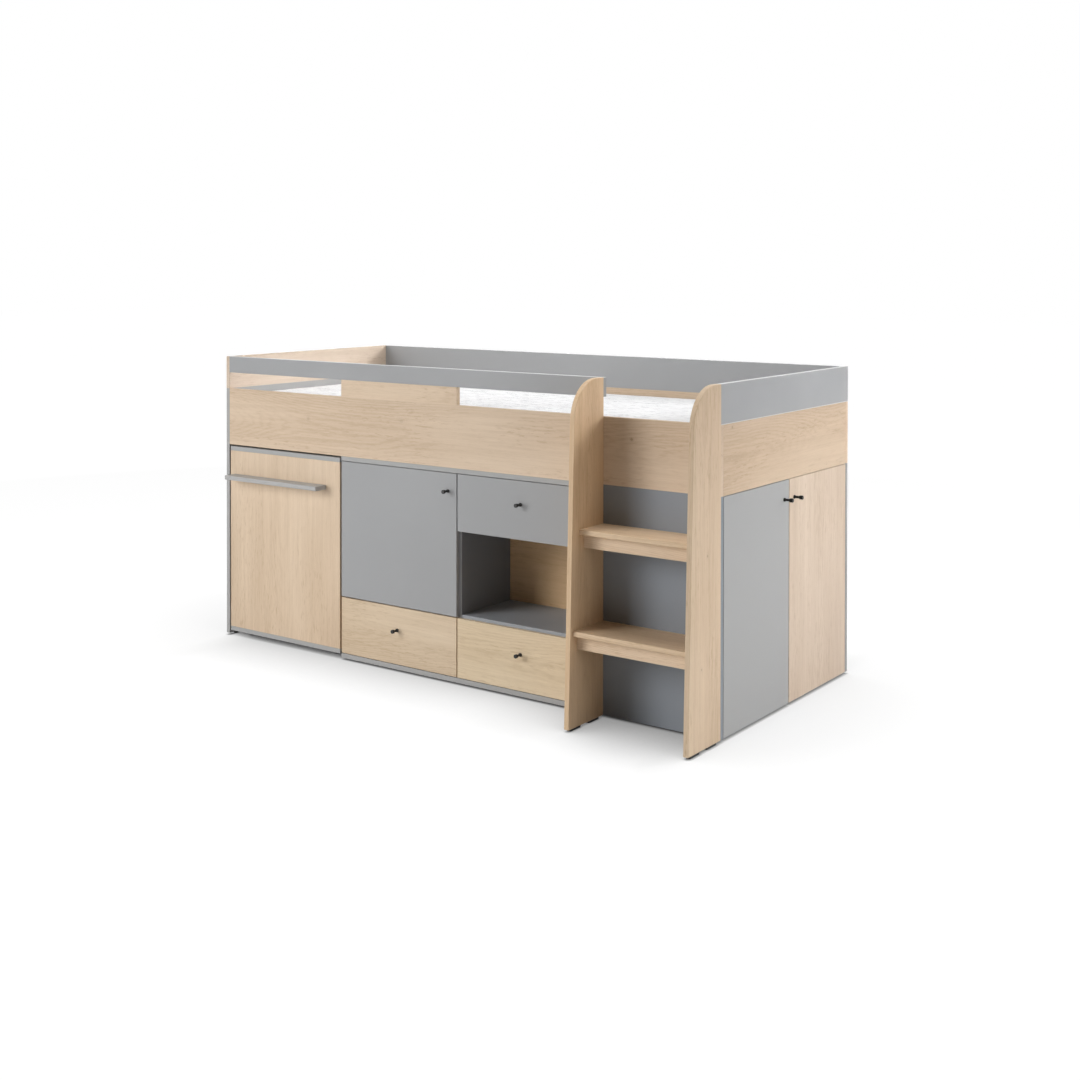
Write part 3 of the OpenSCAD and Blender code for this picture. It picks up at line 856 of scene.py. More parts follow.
@dataclass(frozen=True)
class Arris:
    """The eased edge of a board.

    Attributes:
        width: Width of the easing.
        segments: Steps round it.
        sharpest: Least angle of an edge that is eased, in degrees.
        joint: Distance below which points of a mesh are one.
    """

    width: float = 0.0009
    segments: int = 2
    sharpest: float = 40.0
    joint: float = 0.00001

    def ease(self, node: bpy.types.Object) -> None:
        """Rounds the edges of a node by modifiers, so its own mesh stays as it is.

        Args:
            node: The board.
        """
        weld = node.modifiers.new("joined_faces", "WELD")
        weld.merge_threshold = self.joint
        bevel = node.modifiers.new("eased_edges", "BEVEL")
        bevel.width, bevel.segments = self.width, self.segments
        bevel.limit_method, bevel.angle_limit = "ANGLE", math.radians(self.sharpest)
        bevel.harden_normals = True


# ---------------------------------------------------------------- helpers


def wear(piece: bpy.types.Object, material: bpy.types.Material) -> None:
    """Gives a piece one material."""
    piece.data.materials.clear()
    piece.data.materials.append(material)


def new_piece(
    name: str, form: bmesh.types.BMesh, material: bpy.types.Material
) -> bpy.types.Object:
    """Turns a form into a smooth piece of the scene.

    Args:
        name: Name of the piece.
        form: Its form, which is used up.
        material: Its material.

    Returns:
        The piece.
    """
    mesh = bpy.data.meshes.new(name)
    form.normal_update()
    form.to_mesh(mesh)
    form.free()
    for face in mesh.polygons:
        face.use_smooth = True
    piece = bpy.data.objects.new(name, mesh)
    bpy.context.scene.collection.objects.link(piece)
    wear(piece, material)
    return piece


def cut_box(name: str, margin: float = 0.01, **sides: float) -> Box:
    """Returns a box round a node, with some of its sides set to cut through the node.

    Args:
        name: The node.
        margin: How far the other sides stand out past the node.
        **sides: Places of the sides that cut it, named x0, x1, y0, y1, z0 or z1.

    Returns:
        The lowest and the highest corner.
    """
    corners = zip(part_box(name), (-margin, margin))
    return tuple(
        tuple(sides.get(f"{axis}{end}", corner[i] + out) for i, axis in enumerate("xyz"))
        for end, (corner, out) in enumerate(corners)
    )


def spaced(low: float, high: float, pitch: float) -> list[float]:
    """Returns places about one pitch apart, with half a step left at both ends."""
    count = int((high - low) / pitch)
    return [low + (i + 0.5) * (high - low) / count for i in range(count)]


# ---------------------------------------------------------------- sub-assemblies

DRAWERS = ("upper_drawer", "lower_left_drawer", "lower_right_drawer")


@dataclass
class BoardWork:
    """Boards and plain pieces that are dressed together.

    Attributes:
        nodes: The model's nodes by name.
        oak: Boards with printed wood.
        plain: Other nodes and their finish.
        arris: How the edges of the boards are eased.
    """

    nodes: dict[str, bpy.types.Object]
    oak: tuple[WoodBoard, ...] = ()
    plain: tuple[tuple[str, PlainFinish], ...] = ()
    arris: Arris = Arris()

    def dress(self) -> None:
        """Gives each of its nodes its material and eased edges."""
        for board in self.oak:
            self._dress_wood(OAK, board)
        for name, finish in self.plain:
            node = self.nodes[name]
            wear(node, finish.material())
            if finish.on_board:
                self.arris.ease(node)
        LOG.info("%s: %d nodes dressed", type(self).__name__, len(self.oak) + len(self.plain))

    def build_screws(self) -> None:
        """Adds the heads of screws and nails, where a sub-assembly shows them."""

    def _dress_wood(self, finish: WoodFinish, board: WoodBoard) -> None:
        """Gives a board its wood and eased edges.

        Args:
            finish: The finish of wood.
            board: The board.
        """
        node = self.nodes[board.name]
        wear(node, finish.material(node, board))
        self.arris.ease(node)


@dataclass
class Fasteners:
    """Screw or nail heads that ride on one body.

    Attributes:
        name: Name of the piece.
        body: Body that it rides on.
        places: Middle of each head's seat and the direction in which it faces.
        radius: Radius of a head.
        rise: Height of a head as a share of its radius.
        cross: Whether the head has a cross recess.
        arm_width: Half the width of the recess's arms as a share of the radius.
        arm_reach: Reach of the arms as a share of the radius.
        recess: Depth of the recess as a share of the radius.
        rings: Steps from the middle of a head to its rim.
        segments: Steps round it.
    """

    name: str
    body: str
    places: list[tuple[Point, Point]]
    radius: float = 0.004
    rise: float = 0.45
    cross: bool = True
    arm_width: float = 0.17
    arm_reach: float = 0.62
    recess: float = 0.28
    rings: int = 7
    segments: int = 24

    def build(self) -> None:
        """Builds all heads as one piece, riding on its body."""
        form = bmesh.new()
        for place, facing in self.places:
            turn = Vector(facing).to_track_quat("Z", "Y").to_matrix().to_4x4()
            self._head(form, Matrix.Translation(place) @ turn)
        piece = new_piece(self.name, form, STEEL.material())
        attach(piece, self.body)
        LOG.info("%s: %d heads", self.name, len(self.places))

    def _head(self, form: bmesh.types.BMesh, matrix: Matrix) -> None:
        """Adds one low domed head, with its cross recess pressed in.

        Args:
            form: Form that receives it.
            matrix: Its place, with Z out of the seat.
        """
        rows = [[form.verts.new(matrix @ self._point(0.0, 0.5))]]
        for i in range(1, self.rings + 1):
            spots = (self._point(i / self.rings, k + 0.5) for k in range(self.segments))
            rows.append([form.verts.new(matrix @ spot) for spot in spots])
        for k in range(self.segments):
            n = (k + 1) % self.segments
            form.faces.new((rows[0][0], rows[1][k], rows[1][n]))
            for inner, outer in zip(rows[1:], rows[2:]):
                form.faces.new((inner[k], outer[k], outer[n], inner[n]))

    def _point(self, share: float, step: float) -> Vector:
        """Returns a point of a head.

        Args:
            share: Its distance from the middle as a share of the radius.
            step: Its place round the head, in segments.

        Returns:
            The point, with Z out of the seat.
        """
        r, angle = self.radius, math.tau * step / self.segments
        x, y = r * share * math.cos(angle), r * share * math.sin(angle)
        z = r * self.rise * math.sqrt(max(0.0, 1.0 - share**2))
        narrow, wide = sorted((abs(x), abs(y)))
        if self.cross and narrow < self.arm_width * r and wide < self.arm_reach * r:
            z -= self.recess * r
        return Vector((x, y, z))


@dataclass
class BedFrame(BoardWork):
    """Rails, guards, end boards, slats and gliders of the raised bed.

    Attributes:
        softwood: Boards of planed softwood.
        screw_pitch: Distance between the screws of a ledger.
        ledger_width: Width of a ledger.
        foot_highlight: Height of the painted highlight along the foot of the end guard.
        side_edging: Width of the painted highlight along the back edge of the end guard.
    """

    # Painted light and shade: the left end board is paler for its lit inner face, the rails
    # deeper.
    oak: tuple[WoodBoard, ...] = (
        WoodBoard("left_end_board", Axis.Y, (0.955, 1.00, 1.10)),
        WoodBoard(
            "right_end_rail",
            Axis.Y,
            (0.94, 0.92, 0.89),
            (KnotMark((1.006, -0.30, 0.918), 0.005, 0.40),),
        ),
        WoodBoard(
            "front_rail",
            Axis.X,
            (0.98, 0.98, 0.99),
            (
                KnotMark((-0.62, -0.372, 0.842), 0.009, 0.20),
                KnotMark((0.708, -0.372, 0.866), 0.0065, 0.50),
                KnotMark((-0.19, -0.372, 0.862), 0.010, 0.18),
            ),
        ),
        WoodBoard("guard_spacer", Axis.X),
        WoodBoard("back_rail", Axis.X),
    )
    plain: tuple[tuple[str, PlainFinish], ...] = (
        ("left_side_panel", GREY),
        ("right_end_guard", GREY),
        ("front_guard", FRONTS_SHADED_LAMINATE),
        ("back_guard", GREY),
        ("floor_gliders", BLACK_PLASTIC),
    )
    softwood: tuple[WoodBoard, ...] = (
        WoodBoard("slats", Axis.Y),
        WoodBoard("slat_ledgers", Axis.X),
    )
    screw_pitch: float = 0.24
    ledger_width: float = 0.030
    foot_highlight: float = 0.0022
    side_edging: float = 0.0016

    def dress(self) -> None:
        """Dresses the boards, the slats and ledgers of planed softwood, and painted highlights on
        the guards' edges.
        """
        super().dress()
        for board in self.softwood:
            self._dress_wood(PINE, board)
        grounds = dict(self.plain)
        # Painted highlight along the guards' top edges, and along the end guard's foot and back
        # edge.
        for name in ("front_guard", "back_guard", "right_end_guard"):
            low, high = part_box(name)
            edges = [cut_box(name, z0=high.z - self.arris.width)]
            if name == "right_end_guard":
                edges.append(cut_box(name, z1=low.z + self.foot_highlight))
                edges.append(cut_box(name, y0=high.y - self.side_edging))
            TwoPartFinish("edged", grounds[name], EDGE_HIGHLIGHT).cover(self.nodes[name], *edges)

    def build_screws(self) -> None:
        """Screws the two ledgers to the rails."""
        low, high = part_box("slat_ledgers")
        z = (low.z + high.z) / 2
        front, back = low.y + self.ledger_width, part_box("back_rail")[0].y - self.ledger_width
        places = []
        for x in spaced(low.x, high.x, self.screw_pitch):
            places += [((x, front, z), (0, 1, 0)), ((x, back, z), (0, -1, 0))]
        Fasteners("ledger_screws", "frame", places).build()


@dataclass
class Ladder(BoardWork):
    """Stiles with round shoulders, and treads on their aprons."""

    # Painted light and shade: the left stile is deeper and warmer for its shaded face, the treads
    # and aprons brighter.
    oak: tuple[WoodBoard, ...] = (
        WoodBoard("ladder_stile_left", Axis.Z, (1.04, 0.96, 0.84)),
        WoodBoard(
            "ladder_stile_right",
            Axis.Z,
            (0.98, 0.96, 0.92),
            (
                KnotMark((1.006, -0.455, 0.560), 0.0045, 0.45),
                KnotMark((1.006, -0.490, 0.240), 0.004, 0.40),
            ),
        ),
        WoodBoard("ladder_treads", Axis.X, (1.08, 1.04, 0.97)),
        WoodBoard("ladder_aprons", Axis.X, (1.12, 1.11, 1.10)),
    )


@dataclass
class Chest(BoardWork):
    """The chest's carcass with its open niche, shelves, pins and runners.

    Attributes:
        wall_gap: Gap between a drawer's box and the wall beside it.
        rail_lift: How far a fixed runner stands above the lowest edge of the drawer's box.
        rail_web: Thickness of a runner's web.
        glide_depths: Distances from the wall between which a nylon glide lies.
        glide_levels: Its lower and upper level from the runner's lower edge.
        glide_length: Its length.
        glide_play: Play round its ends.
        screw_places: Distances of a runner's screws from its front end.
        screw_level: Their height above the runner's lower edge.
        nail_pitch: Distance between the nails of the back board.
        nail_inset: Distance of the outer nails from its edges.
    """

    # Painted shade: the back board's wood is deeper and warmer for the back of the shaded niche.
    oak: tuple[WoodBoard, ...] = (WoodBoard("chest_back", Axis.X, (1.05, 0.90, 0.70)),)
    plain: tuple[tuple[str, PlainFinish], ...] = (
        ("chest_top", GREY),
        ("chest_bottom", GREY),
        ("chest_side", GREY),
        ("chest_divider", NICHE_WALL_SHADE_LAMINATE),
        ("chest_fixed_shelves", NICHE_FLOOR_SHADE_LAMINATE),
        ("loose_shelves", GREY),
        ("shelf_pins", STEEL),
    )
    wall_gap: float = 0.0024
    rail_lift: float = 0.0012
    rail_web: float = 0.0012
    glide_depths: tuple[float, float] = (0.00125, 0.0098)
    glide_levels: tuple[float, float] = (-0.00075, 0.01375)
    glide_length: float = 0.018
    glide_play: float = 0.0002
    screw_places: tuple[float, ...] = (0.045, 0.13, 0.225)
    screw_level: float = 0.009
    nail_pitch: float = 0.11
    nail_inset: float = 0.008

    def dress(self) -> None:
        """Dresses the boards, the divider's painted shade and front edge, and the runners with
        their nylon glides.
        """
        super().dress()
        # Painted shade on the divider's faces; only its front edge keeps the plain grey.
        edge = cut_box("chest_divider", y1=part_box("chest_divider")[0].y + self.arris.width)
        TwoPartFinish("divider", NICHE_WALL_SHADE_LAMINATE, GREY).cover(self.nodes["chest_divider"], edge)
        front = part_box("drawer_rails")[0].y
        glides = []
        for wall, side, level in self.rail_walls():
            near, far = sorted(wall + side * depth for depth in self.glide_depths)
            under, over = (level + height for height in self.glide_levels)
            end = front + self.glide_length + self.glide_play
            glides.append(((near, front - self.glide_play, under), (far, end, over)))
        TwoPartFinish("runner", STEEL, NYLON).cover(self.nodes["drawer_rails"], *glides)

    def rail_walls(self) -> list[tuple[float, float, float]]:
        """Finds the walls to which the fixed runners are screwed.

        Returns:
            Each fixed runner's wall, the side to which it opens and its lower level.
        """
        found = []
        for drawer in DRAWERS:
            low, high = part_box(f"{drawer}_box")
            level = low.z + self.rail_lift
            found += [(low.x - self.wall_gap, 1.0, level), (high.x + self.wall_gap, -1.0, level)]
        return found

    def build_screws(self) -> None:
        """Screws the runners to the walls and nails the back board on."""
        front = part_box("drawer_rails")[0].y
        screws = [
            ((wall + side * self.rail_web, front + y, level + self.screw_level), (side, 0, 0))
            for wall, side, level in self.rail_walls()
            for y in self.screw_places
        ]
        Fasteners("runner_screws", "frame", screws, radius=0.0032, rise=0.3).build()
        low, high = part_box("chest_back")
        nails = [
            ((x, high.y, z), (0, 1, 0))
            for x in (low.x + self.nail_inset, (low.x + high.x) / 2, high.x - self.nail_inset)
            for z in spaced(low.z, high.z, self.nail_pitch)
        ]
        Fasteners("back_board_nails", "frame", nails, radius=0.0022, cross=False).build()


@dataclass
class Wardrobe(BoardWork):
    """The wardrobe's boards and the two doors in its end.

    Attributes:
        face_play: How far behind the doors' outer faces their black knobs' finish starts.
    """

    # Painted light: the rear end door's wood is paler for its brightly lit face.
    oak: tuple[WoodBoard, ...] = (WoodBoard("rear_end_door", Axis.Z, (1.0, 1.03, 1.10)),)
    plain: tuple[tuple[str, PlainFinish], ...] = (
        ("wardrobe_side", GREY),
        # Painted shade behind the ladder.
        ("wardrobe_front_panel", LADDER_SHADOW_LAMINATE),
        ("wardrobe_partition", GREY),
        ("wardrobe_top", GREY),
        ("wardrobe_floor", GREY),
        ("wardrobe_back_panel", GREY),
        ("front_end_door", GREY),
        ("hinge_arms", STEEL),
    )
    face_play: float = 0.0001

    def dress(self) -> None:
        """Dresses the boards, then each end door's steel cups and black knob."""
        super().dress()
        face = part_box("front_end_door")[1].x - self.face_play
        for name in ("front_end_door_fittings", "rear_end_door_fittings"):
            finish = TwoPartFinish("door_fittings", STEEL, BLACK_METAL)
            finish.cover(self.nodes[name], cut_box(name, x0=face))


@dataclass
class Fronts(BoardWork):
    """The cupboard door and the three drawers with their knobs and boxes.

    Attributes:
        rail_width: How far the steel runners reach in from a drawer box's sides.
        rail_foot: How far they reach up from its lowest edge.
    """

    # Painted light with a slightly yellower tone: the lower right drawer front is brighter; the
    # lower left one is a touch darker.
    oak: tuple[WoodBoard, ...] = (
        WoodBoard("lower_left_drawer_front", Axis.X, (0.98, 1.00, 0.99)),
        WoodBoard("lower_right_drawer_front", Axis.X, (1.06, 1.10, 1.06)),
    )
    plain: tuple[tuple[str, PlainFinish], ...] = (
        ("cupboard_door", FRONTS_SHADED_LAMINATE),
        ("upper_drawer_front", FRONTS_SHADED_LAMINATE),
        ("cupboard_knob", BLACK_METAL),
        *((f"{drawer}_knob", BLACK_METAL) for drawer in DRAWERS),
        ("cupboard_hinge_cups", STEEL),
    )
    rail_width: float = 0.0102
    rail_foot: float = 0.0011

    def dress(self) -> None:
        """Dresses the fronts, then each drawer box with the steel runners that it carries."""
        super().dress()
        for name in (f"{drawer}_box" for drawer in DRAWERS):
            low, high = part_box(name)
            left = cut_box(name, x1=low.x + self.rail_width)
            right = cut_box(name, x0=high.x - self.rail_width)
            foot = cut_box(name, z1=low.z + self.rail_foot)
            TwoPartFinish("drawer_box", WHITE, STEEL).cover(self.nodes[name], left, right, foot)


@dataclass
class Desk(BoardWork):
    """The pull-out desk on its four castors.

    Attributes:
        hole_reach: Distance of a castor plate's holes from its middle, both ways.
        wheel_half: Half the width of a wheel.
    """

    oak: tuple[WoodBoard, ...] = (
        WoodBoard("desk_front_panel", Axis.Z),
        WoodBoard("desk_back_panel", Axis.Z),
        WoodBoard("desk_side_panel", Axis.Y),
    )
    plain: tuple[tuple[str, PlainFinish], ...] = (
        ("desk_top", GREY),
        ("desk_base", GREY),
        ("desk_handle", HANDLE_LIT_LAMINATE),
        ("desk_guides", BLACK_PLASTIC),
        ("castor_brackets", STEEL),
        ("front_castor_wheels", RUBBER),
        ("rear_castor_wheels", RUBBER),
    )
    hole_reach: float = 0.022
    wheel_half: float = 0.008

    def build_screws(self) -> None:
        """Screws the four castor plates to the base board."""
        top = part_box("castor_brackets")[1].z
        reach = (-self.hole_reach, self.hole_reach)
        places = []
        for wheels in ("front_castor_wheels", "rear_castor_wheels"):
            low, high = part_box(wheels)
            y = (low.y + high.y) / 2
            for x in (low.x + self.wheel_half, high.x - self.wheel_half):
                places += [((x + dx, y + dy, top), (0, 0, 1)) for dx in reach for dy in reach]
        Fasteners("castor_screws", "desk", places, radius=0.0036).build()


@dataclass
class Mattress:
    """Foam mattress in a knitted cover, with piped edges and a crowned top.

    Attributes:
        corner: Radius of its corners in plan.
        corner_steps: Grid lines across a corner.
        step: Distance between the other points of the mesh.
        lift: How far its crown stands above the plain block that it takes the place of.
        crown: How far its middle stands above its edges.
        crown_reach: Distance from the edge over which the crown rises.
        inset: How far its sides lie inside the block's.
        foot: How far its underside lies above the block's.
        roll: Width over which a panel rolls down to its seam.
        drop: How far the seam lies below the edge of its panel.
        hem: How much higher than that the lower seam lies.
        waist: How far the border draws in at half height.
        border_rows: Steps between the two seams.
        pucker: Depth of the gathers beside the seams.
        gathers: Fineness of the gathers on the panels, in cells per metre.
        gather_reach: How far they reach in from the seam.
        border_gathers: Fineness of the gathers on the border.
        border_pucker: Their depth as a share of the others.
        swell: Depth of the soft unevenness of the top.
        swells: Its fineness, in cells per metre.
        swell_reach: Distance from the seam over which it comes up.
        piping: Radius of the piping.
        piping_sides: Steps round it.
        piping_sunk: How far its middle lies behind the border, as a share of its radius.
        arc_steps: Steps of the piping round a corner.
    """

    corner: float = 0.034
    corner_steps: int = 6
    step: float = 0.02
    lift: float = 0.008
    crown: float = 0.007
    crown_reach: float = 0.24
    inset: float = 0.001
    foot: float = 0.0004
    roll: float = 0.014
    drop: float = 0.005
    hem: float = 0.001
    waist: float = 0.004
    border_rows: int = 10
    pucker: float = 0.0009
    gathers: float = 42.0
    gather_reach: float = 0.03
    border_gathers: float = 38.0
    border_pucker: float = 0.6
    swell: float = 0.0012
    swells: float = 3.2
    swell_reach: float = 0.08
    piping: float = 0.0040
    piping_sides: int = 10
    piping_sunk: float = 0.72
    arc_steps: int = 12

    def build(self) -> None:
        """Builds the cover and its piping in the place of the CAD mattress."""
        low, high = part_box("mattress")
        middle = (low + high) / 2
        half = Vector(((high.x - low.x) / 2 - self.inset, (high.y - low.y) / 2 - self.inset))
        top = high.z + self.lift
        seams = (top - self.crown - self.drop, low.z + self.drop + self.hem)
        cover = self._cover(middle, half, (low.z + self.foot, top), seams)
        self._seat(cover)
        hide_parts("mattress")
        loop = self._outline(half)
        for name, level in zip(("upper_piping", "lower_piping"), seams):
            self._seat(self._tube(name, middle, loop, level))
        LOG.info("mattress: cover and piping")

    def _seat(self, piece: bpy.types.Object) -> None:
        """Lets a piece of the mattress's cover ride on the frame."""
        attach(piece, "frame")

    def _lines(self, half: float) -> list[float]:
        """Spaces the grid lines along one axis, closer together in the corners.

        Args:
            half: Half of the cover's length along that axis.

        Returns:
            The places of the lines.
        """
        start = half - self.corner
        count = max(2, round(2 * start / self.step))
        inner = [-start + 2 * start * i / count for i in range(count + 1)]
        steps = range(1, self.corner_steps + 1)
        edge = [start + self.corner * i / self.corner_steps for i in steps]
        return [-v for v in reversed(edge)] + inner + edge

    def _bent(self, x: float, y: float, half: Vector) -> Vector:
        """Moves a grid point so that the rectangle's corners become round.

        Args:
            x: Place along the bed.
            y: Place across it.
            half: Half the length and width.

        Returns:
            The point in plan.
        """
        a = (abs(x) - (half.x - self.corner)) / self.corner
        b = (abs(y) - (half.y - self.corner)) / self.corner
        if a <= 0 or b <= 0:
            return Vector((x, y))
        a, b = a * math.sqrt(1 - b * b / 2), b * math.sqrt(1 - a * a / 2)
        px = half.x - self.corner + a * self.corner
        py = half.y - self.corner + b * self.corner
        return Vector((math.copysign(px, x), math.copysign(py, y)))

    def _depth(self, p: Vector, half: Vector) -> float:
        """Measures how far a point in plan lies inside the rounded outline.

        Args:
            p: The point.
            half: Half of the cover's length and width.

        Returns:
            The least distance to the outline.
        """
        dx, dy = half.x - abs(p.x), half.y - abs(p.y)
        if dx < self.corner and dy < self.corner:
            return self.corner - math.hypot(self.corner - dx, self.corner - dy)
        return min(dx, dy)

    def _relief(self, p: Vector, depth: float) -> float:
        """Returns the gathers and soft unevenness of the top at a point.

        The last coordinate of each noise only picks a slice of it.

        Args:
            p: The point in plan.
            depth: Its distance from the seam.

        Returns:
            Height to add.
        """
        fine = noise.noise(Vector((p.x * self.gathers, p.y * self.gathers, 1.0)))
        broad = noise.noise(Vector((p.x * self.swells, p.y * self.swells, 10.0)))
        gathers = fine * self.pucker * math.exp(-depth / self.gather_reach)
        return gathers + broad * self.swell * min(1.0, depth / self.swell_reach)

    def _cover(
        self, middle: Vector, half: Vector, levels: tuple[float, float], seams: tuple[float, float]
    ) -> bpy.types.Object:
        """Builds the closed cover.

        Args:
            middle: Middle of the mattress.
            half: Half its length and width.
            levels: Level of its underside and highest level of its crown.
            seams: Levels of the upper and lower seam.

        Returns:
            The cover.
        """
        bottom, top = levels
        form = bmesh.new()
        rims = []
        for upper in (True, False):
            grid = []
            for x in self._lines(half.x):
                row = []
                for y in self._lines(half.y):
                    p = self._bent(x, y, half)
                    depth = max(0.0, self._depth(p, half))
                    roll = min(1.0, depth / self.roll)
                    fall = self.drop * (1 - math.sqrt(max(0.0, 1 - (1 - roll) ** 2)))
                    z = bottom + fall
                    if upper:
                        arc = math.sin(math.pi / 2 * min(1.0, depth / self.crown_reach))
                        rise = self.crown * arc + self._relief(p, depth) * roll
                        z = min(top, top - self.crown - fall + rise)
                    row.append(form.verts.new((middle.x + p.x, middle.y + p.y, z)))
                grid.append(row)
            for near, far in zip(grid, grid[1:]):
                for j in range(len(near) - 1):
                    quad = (near[j], far[j], far[j + 1], near[j + 1])
                    form.faces.new(quad if upper else quad[::-1])
            rims.append(self._rim(grid))
        self._walls(form, rims, seams)
        return new_piece("mattress_cover_knit", form, TickingFinish().material())

    def _rim(self, grid: list[list[bmesh.types.BMVert]]) -> list[bmesh.types.BMVert]:
        """Follows the rim of a grid of points.

        Args:
            grid: The points, row by row.

        Returns:
            The points on the rim, anticlockwise seen from above.
        """
        last_i, last_j = len(grid) - 1, len(grid[0]) - 1
        rim = [grid[i][0] for i in range(last_i)]
        rim += [grid[last_i][j] for j in range(last_j)]
        rim += [grid[i][last_j] for i in range(last_i, 0, -1)]
        return rim + [grid[0][j] for j in range(last_j, 0, -1)]

    def _walls(
        self,
        form: bmesh.types.BMesh,
        rims: list[list[bmesh.types.BMVert]],
        seams: tuple[float, float],
    ) -> None:
        """Adds the border between the two panels, drawn in at half height.

        Args:
            form: Form that receives it.
            rims: Rim of the upper and of the lower panel.
            seams: Levels of the two seams.
        """
        rim, count = rims[0], len(rims[0])
        rows = [rim]
        for i in range(1, self.border_rows):
            share = i / self.border_rows
            bow = math.sin(math.pi * share)
            row = []
            for k, vert in enumerate(rim):
                before, after = rim[k - 1].co, rim[(k + 1) % count].co
                out = Vector((after.y - before.y, before.x - after.x, 0)).normalized()
                gather = self.border_pucker * noise.noise(vert.co * self.border_gathers)
                draw = self.waist * bow - self.pucker * gather * (1 - bow)
                z = seams[0] + (seams[1] - seams[0]) * share
                row.append(form.verts.new(Vector((vert.co.x, vert.co.y, z)) - out * draw))
            rows.append(row)
        rows.append(rims[1])
        for upper, lower in zip(rows, rows[1:]):
            for k in range(count):
                n = (k + 1) % count
                form.faces.new((upper[k], lower[k], lower[n], upper[n]))

    def _outline(self, half: Vector) -> list[tuple[Vector, Vector]]:
        """Draws the rounded outline in plan.

        Args:
            half: Half of the outline's length and width.

        Returns:
            Its points, each with its outward direction.
        """
        loop = []
        for number, (sx, sy) in enumerate(((1, 1), (-1, 1), (-1, -1), (1, -1))):
            heart = Vector((sx * (half.x - self.corner), sy * (half.y - self.corner)))
            for k in range(self.arc_steps + 1):
                angle = math.radians(90 * number + 90 * k / self.arc_steps)
                out = Vector((math.cos(angle), math.sin(angle)))
                loop.append((heart + out * self.corner, out))
        return loop

    def _tube(
        self, name: str, middle: Vector, loop: list[tuple[Vector, Vector]], level: float
    ) -> bpy.types.Object:
        """Sweeps the round piping along the outline.

        Args:
            name: Name of the piece.
            middle: Middle of the mattress.
            loop: The outline.
            level: Level of the seam.

        Returns:
            The piping.
        """
        form = bmesh.new()
        rings = []
        for point, out in loop:
            ring = []
            for k in range(self.piping_sides):
                angle = math.tau * k / self.piping_sides
                reach = self.piping * (math.cos(angle) - self.piping_sunk)
                spot = middle.xy + point + out * reach
                ring.append(form.verts.new((*spot, level + self.piping * math.sin(angle))))
            rings.append(ring)
        for ring, following in zip(rings, rings[1:] + rings[:1]):
            for k in range(self.piping_sides):
                n = (k + 1) % self.piping_sides
                form.faces.new((ring[k], following[k], following[n], ring[n]))
        return new_piece(name, form, PIPING.material())


# ---------------------------------------------------------------- studio


@dataclass(frozen=True)
class SoftBox:
    """A large soft lamp.

    Attributes:
        name: Its name.
        place: Where it hangs.
        target: What it is aimed at.
        size: Its width and height.
        power: Its power in watts.
        spread: Angle of its light in degrees: 180 for an open box, less behind a honeycomb grid.
    """

    name: str
    place: Point
    target: Point
    size: tuple[float, float]
    power: float
    spread: float = 180.0

    def hang(self) -> None:
        """Adds the lamp to the scene."""
        lamp = bpy.data.lights.new(self.name, "AREA")
        lamp.shape, lamp.size, lamp.size_y = "RECTANGLE", *self.size
        lamp.energy, lamp.spread = self.power, math.radians(self.spread)
        holder = bpy.data.objects.new(self.name, lamp)
        aim = Vector(self.target) - Vector(self.place)
        holder.location = self.place
        holder.rotation_euler = aim.to_track_quat("-Z", "Y").to_euler()
        bpy.context.scene.collection.objects.link(holder)


@dataclass(frozen=True)
class ContactShadow:
    """A painted shade on the floor beside the object, darkest where it stands near; it changes
    from its front to its ends.

    Attributes:
        turn: Distances from the middle between which the ends take over from the front.
        reach: How far the shade reaches, along the front and at the ends.
        depth: How dark it is, along the front and at the ends.
        samples: Rays that measure what stands near.
    """

    turn: tuple[float, float]
    reach: tuple[float, float]
    depth: tuple[float, float]
    samples: int = 16

    def openness(self, net: Wiring, across: Socket) -> Socket:
        """Measures how open the floor lies.

        Args:
            net: Wiring of the floor's material.
            across: Distance from the middle along the bed.

        Returns:
            A value that is 1 in the open and falls towards 0 beside the object.
        """
        far, dark = (net.ramp(across, *self.turn, *pair) for pair in (self.reach, self.depth))
        near = net.add("ShaderNodeAmbientOcclusion", {"Distance": far}, samples=self.samples)
        return net.math("POWER", near.outputs["AO"], dark)


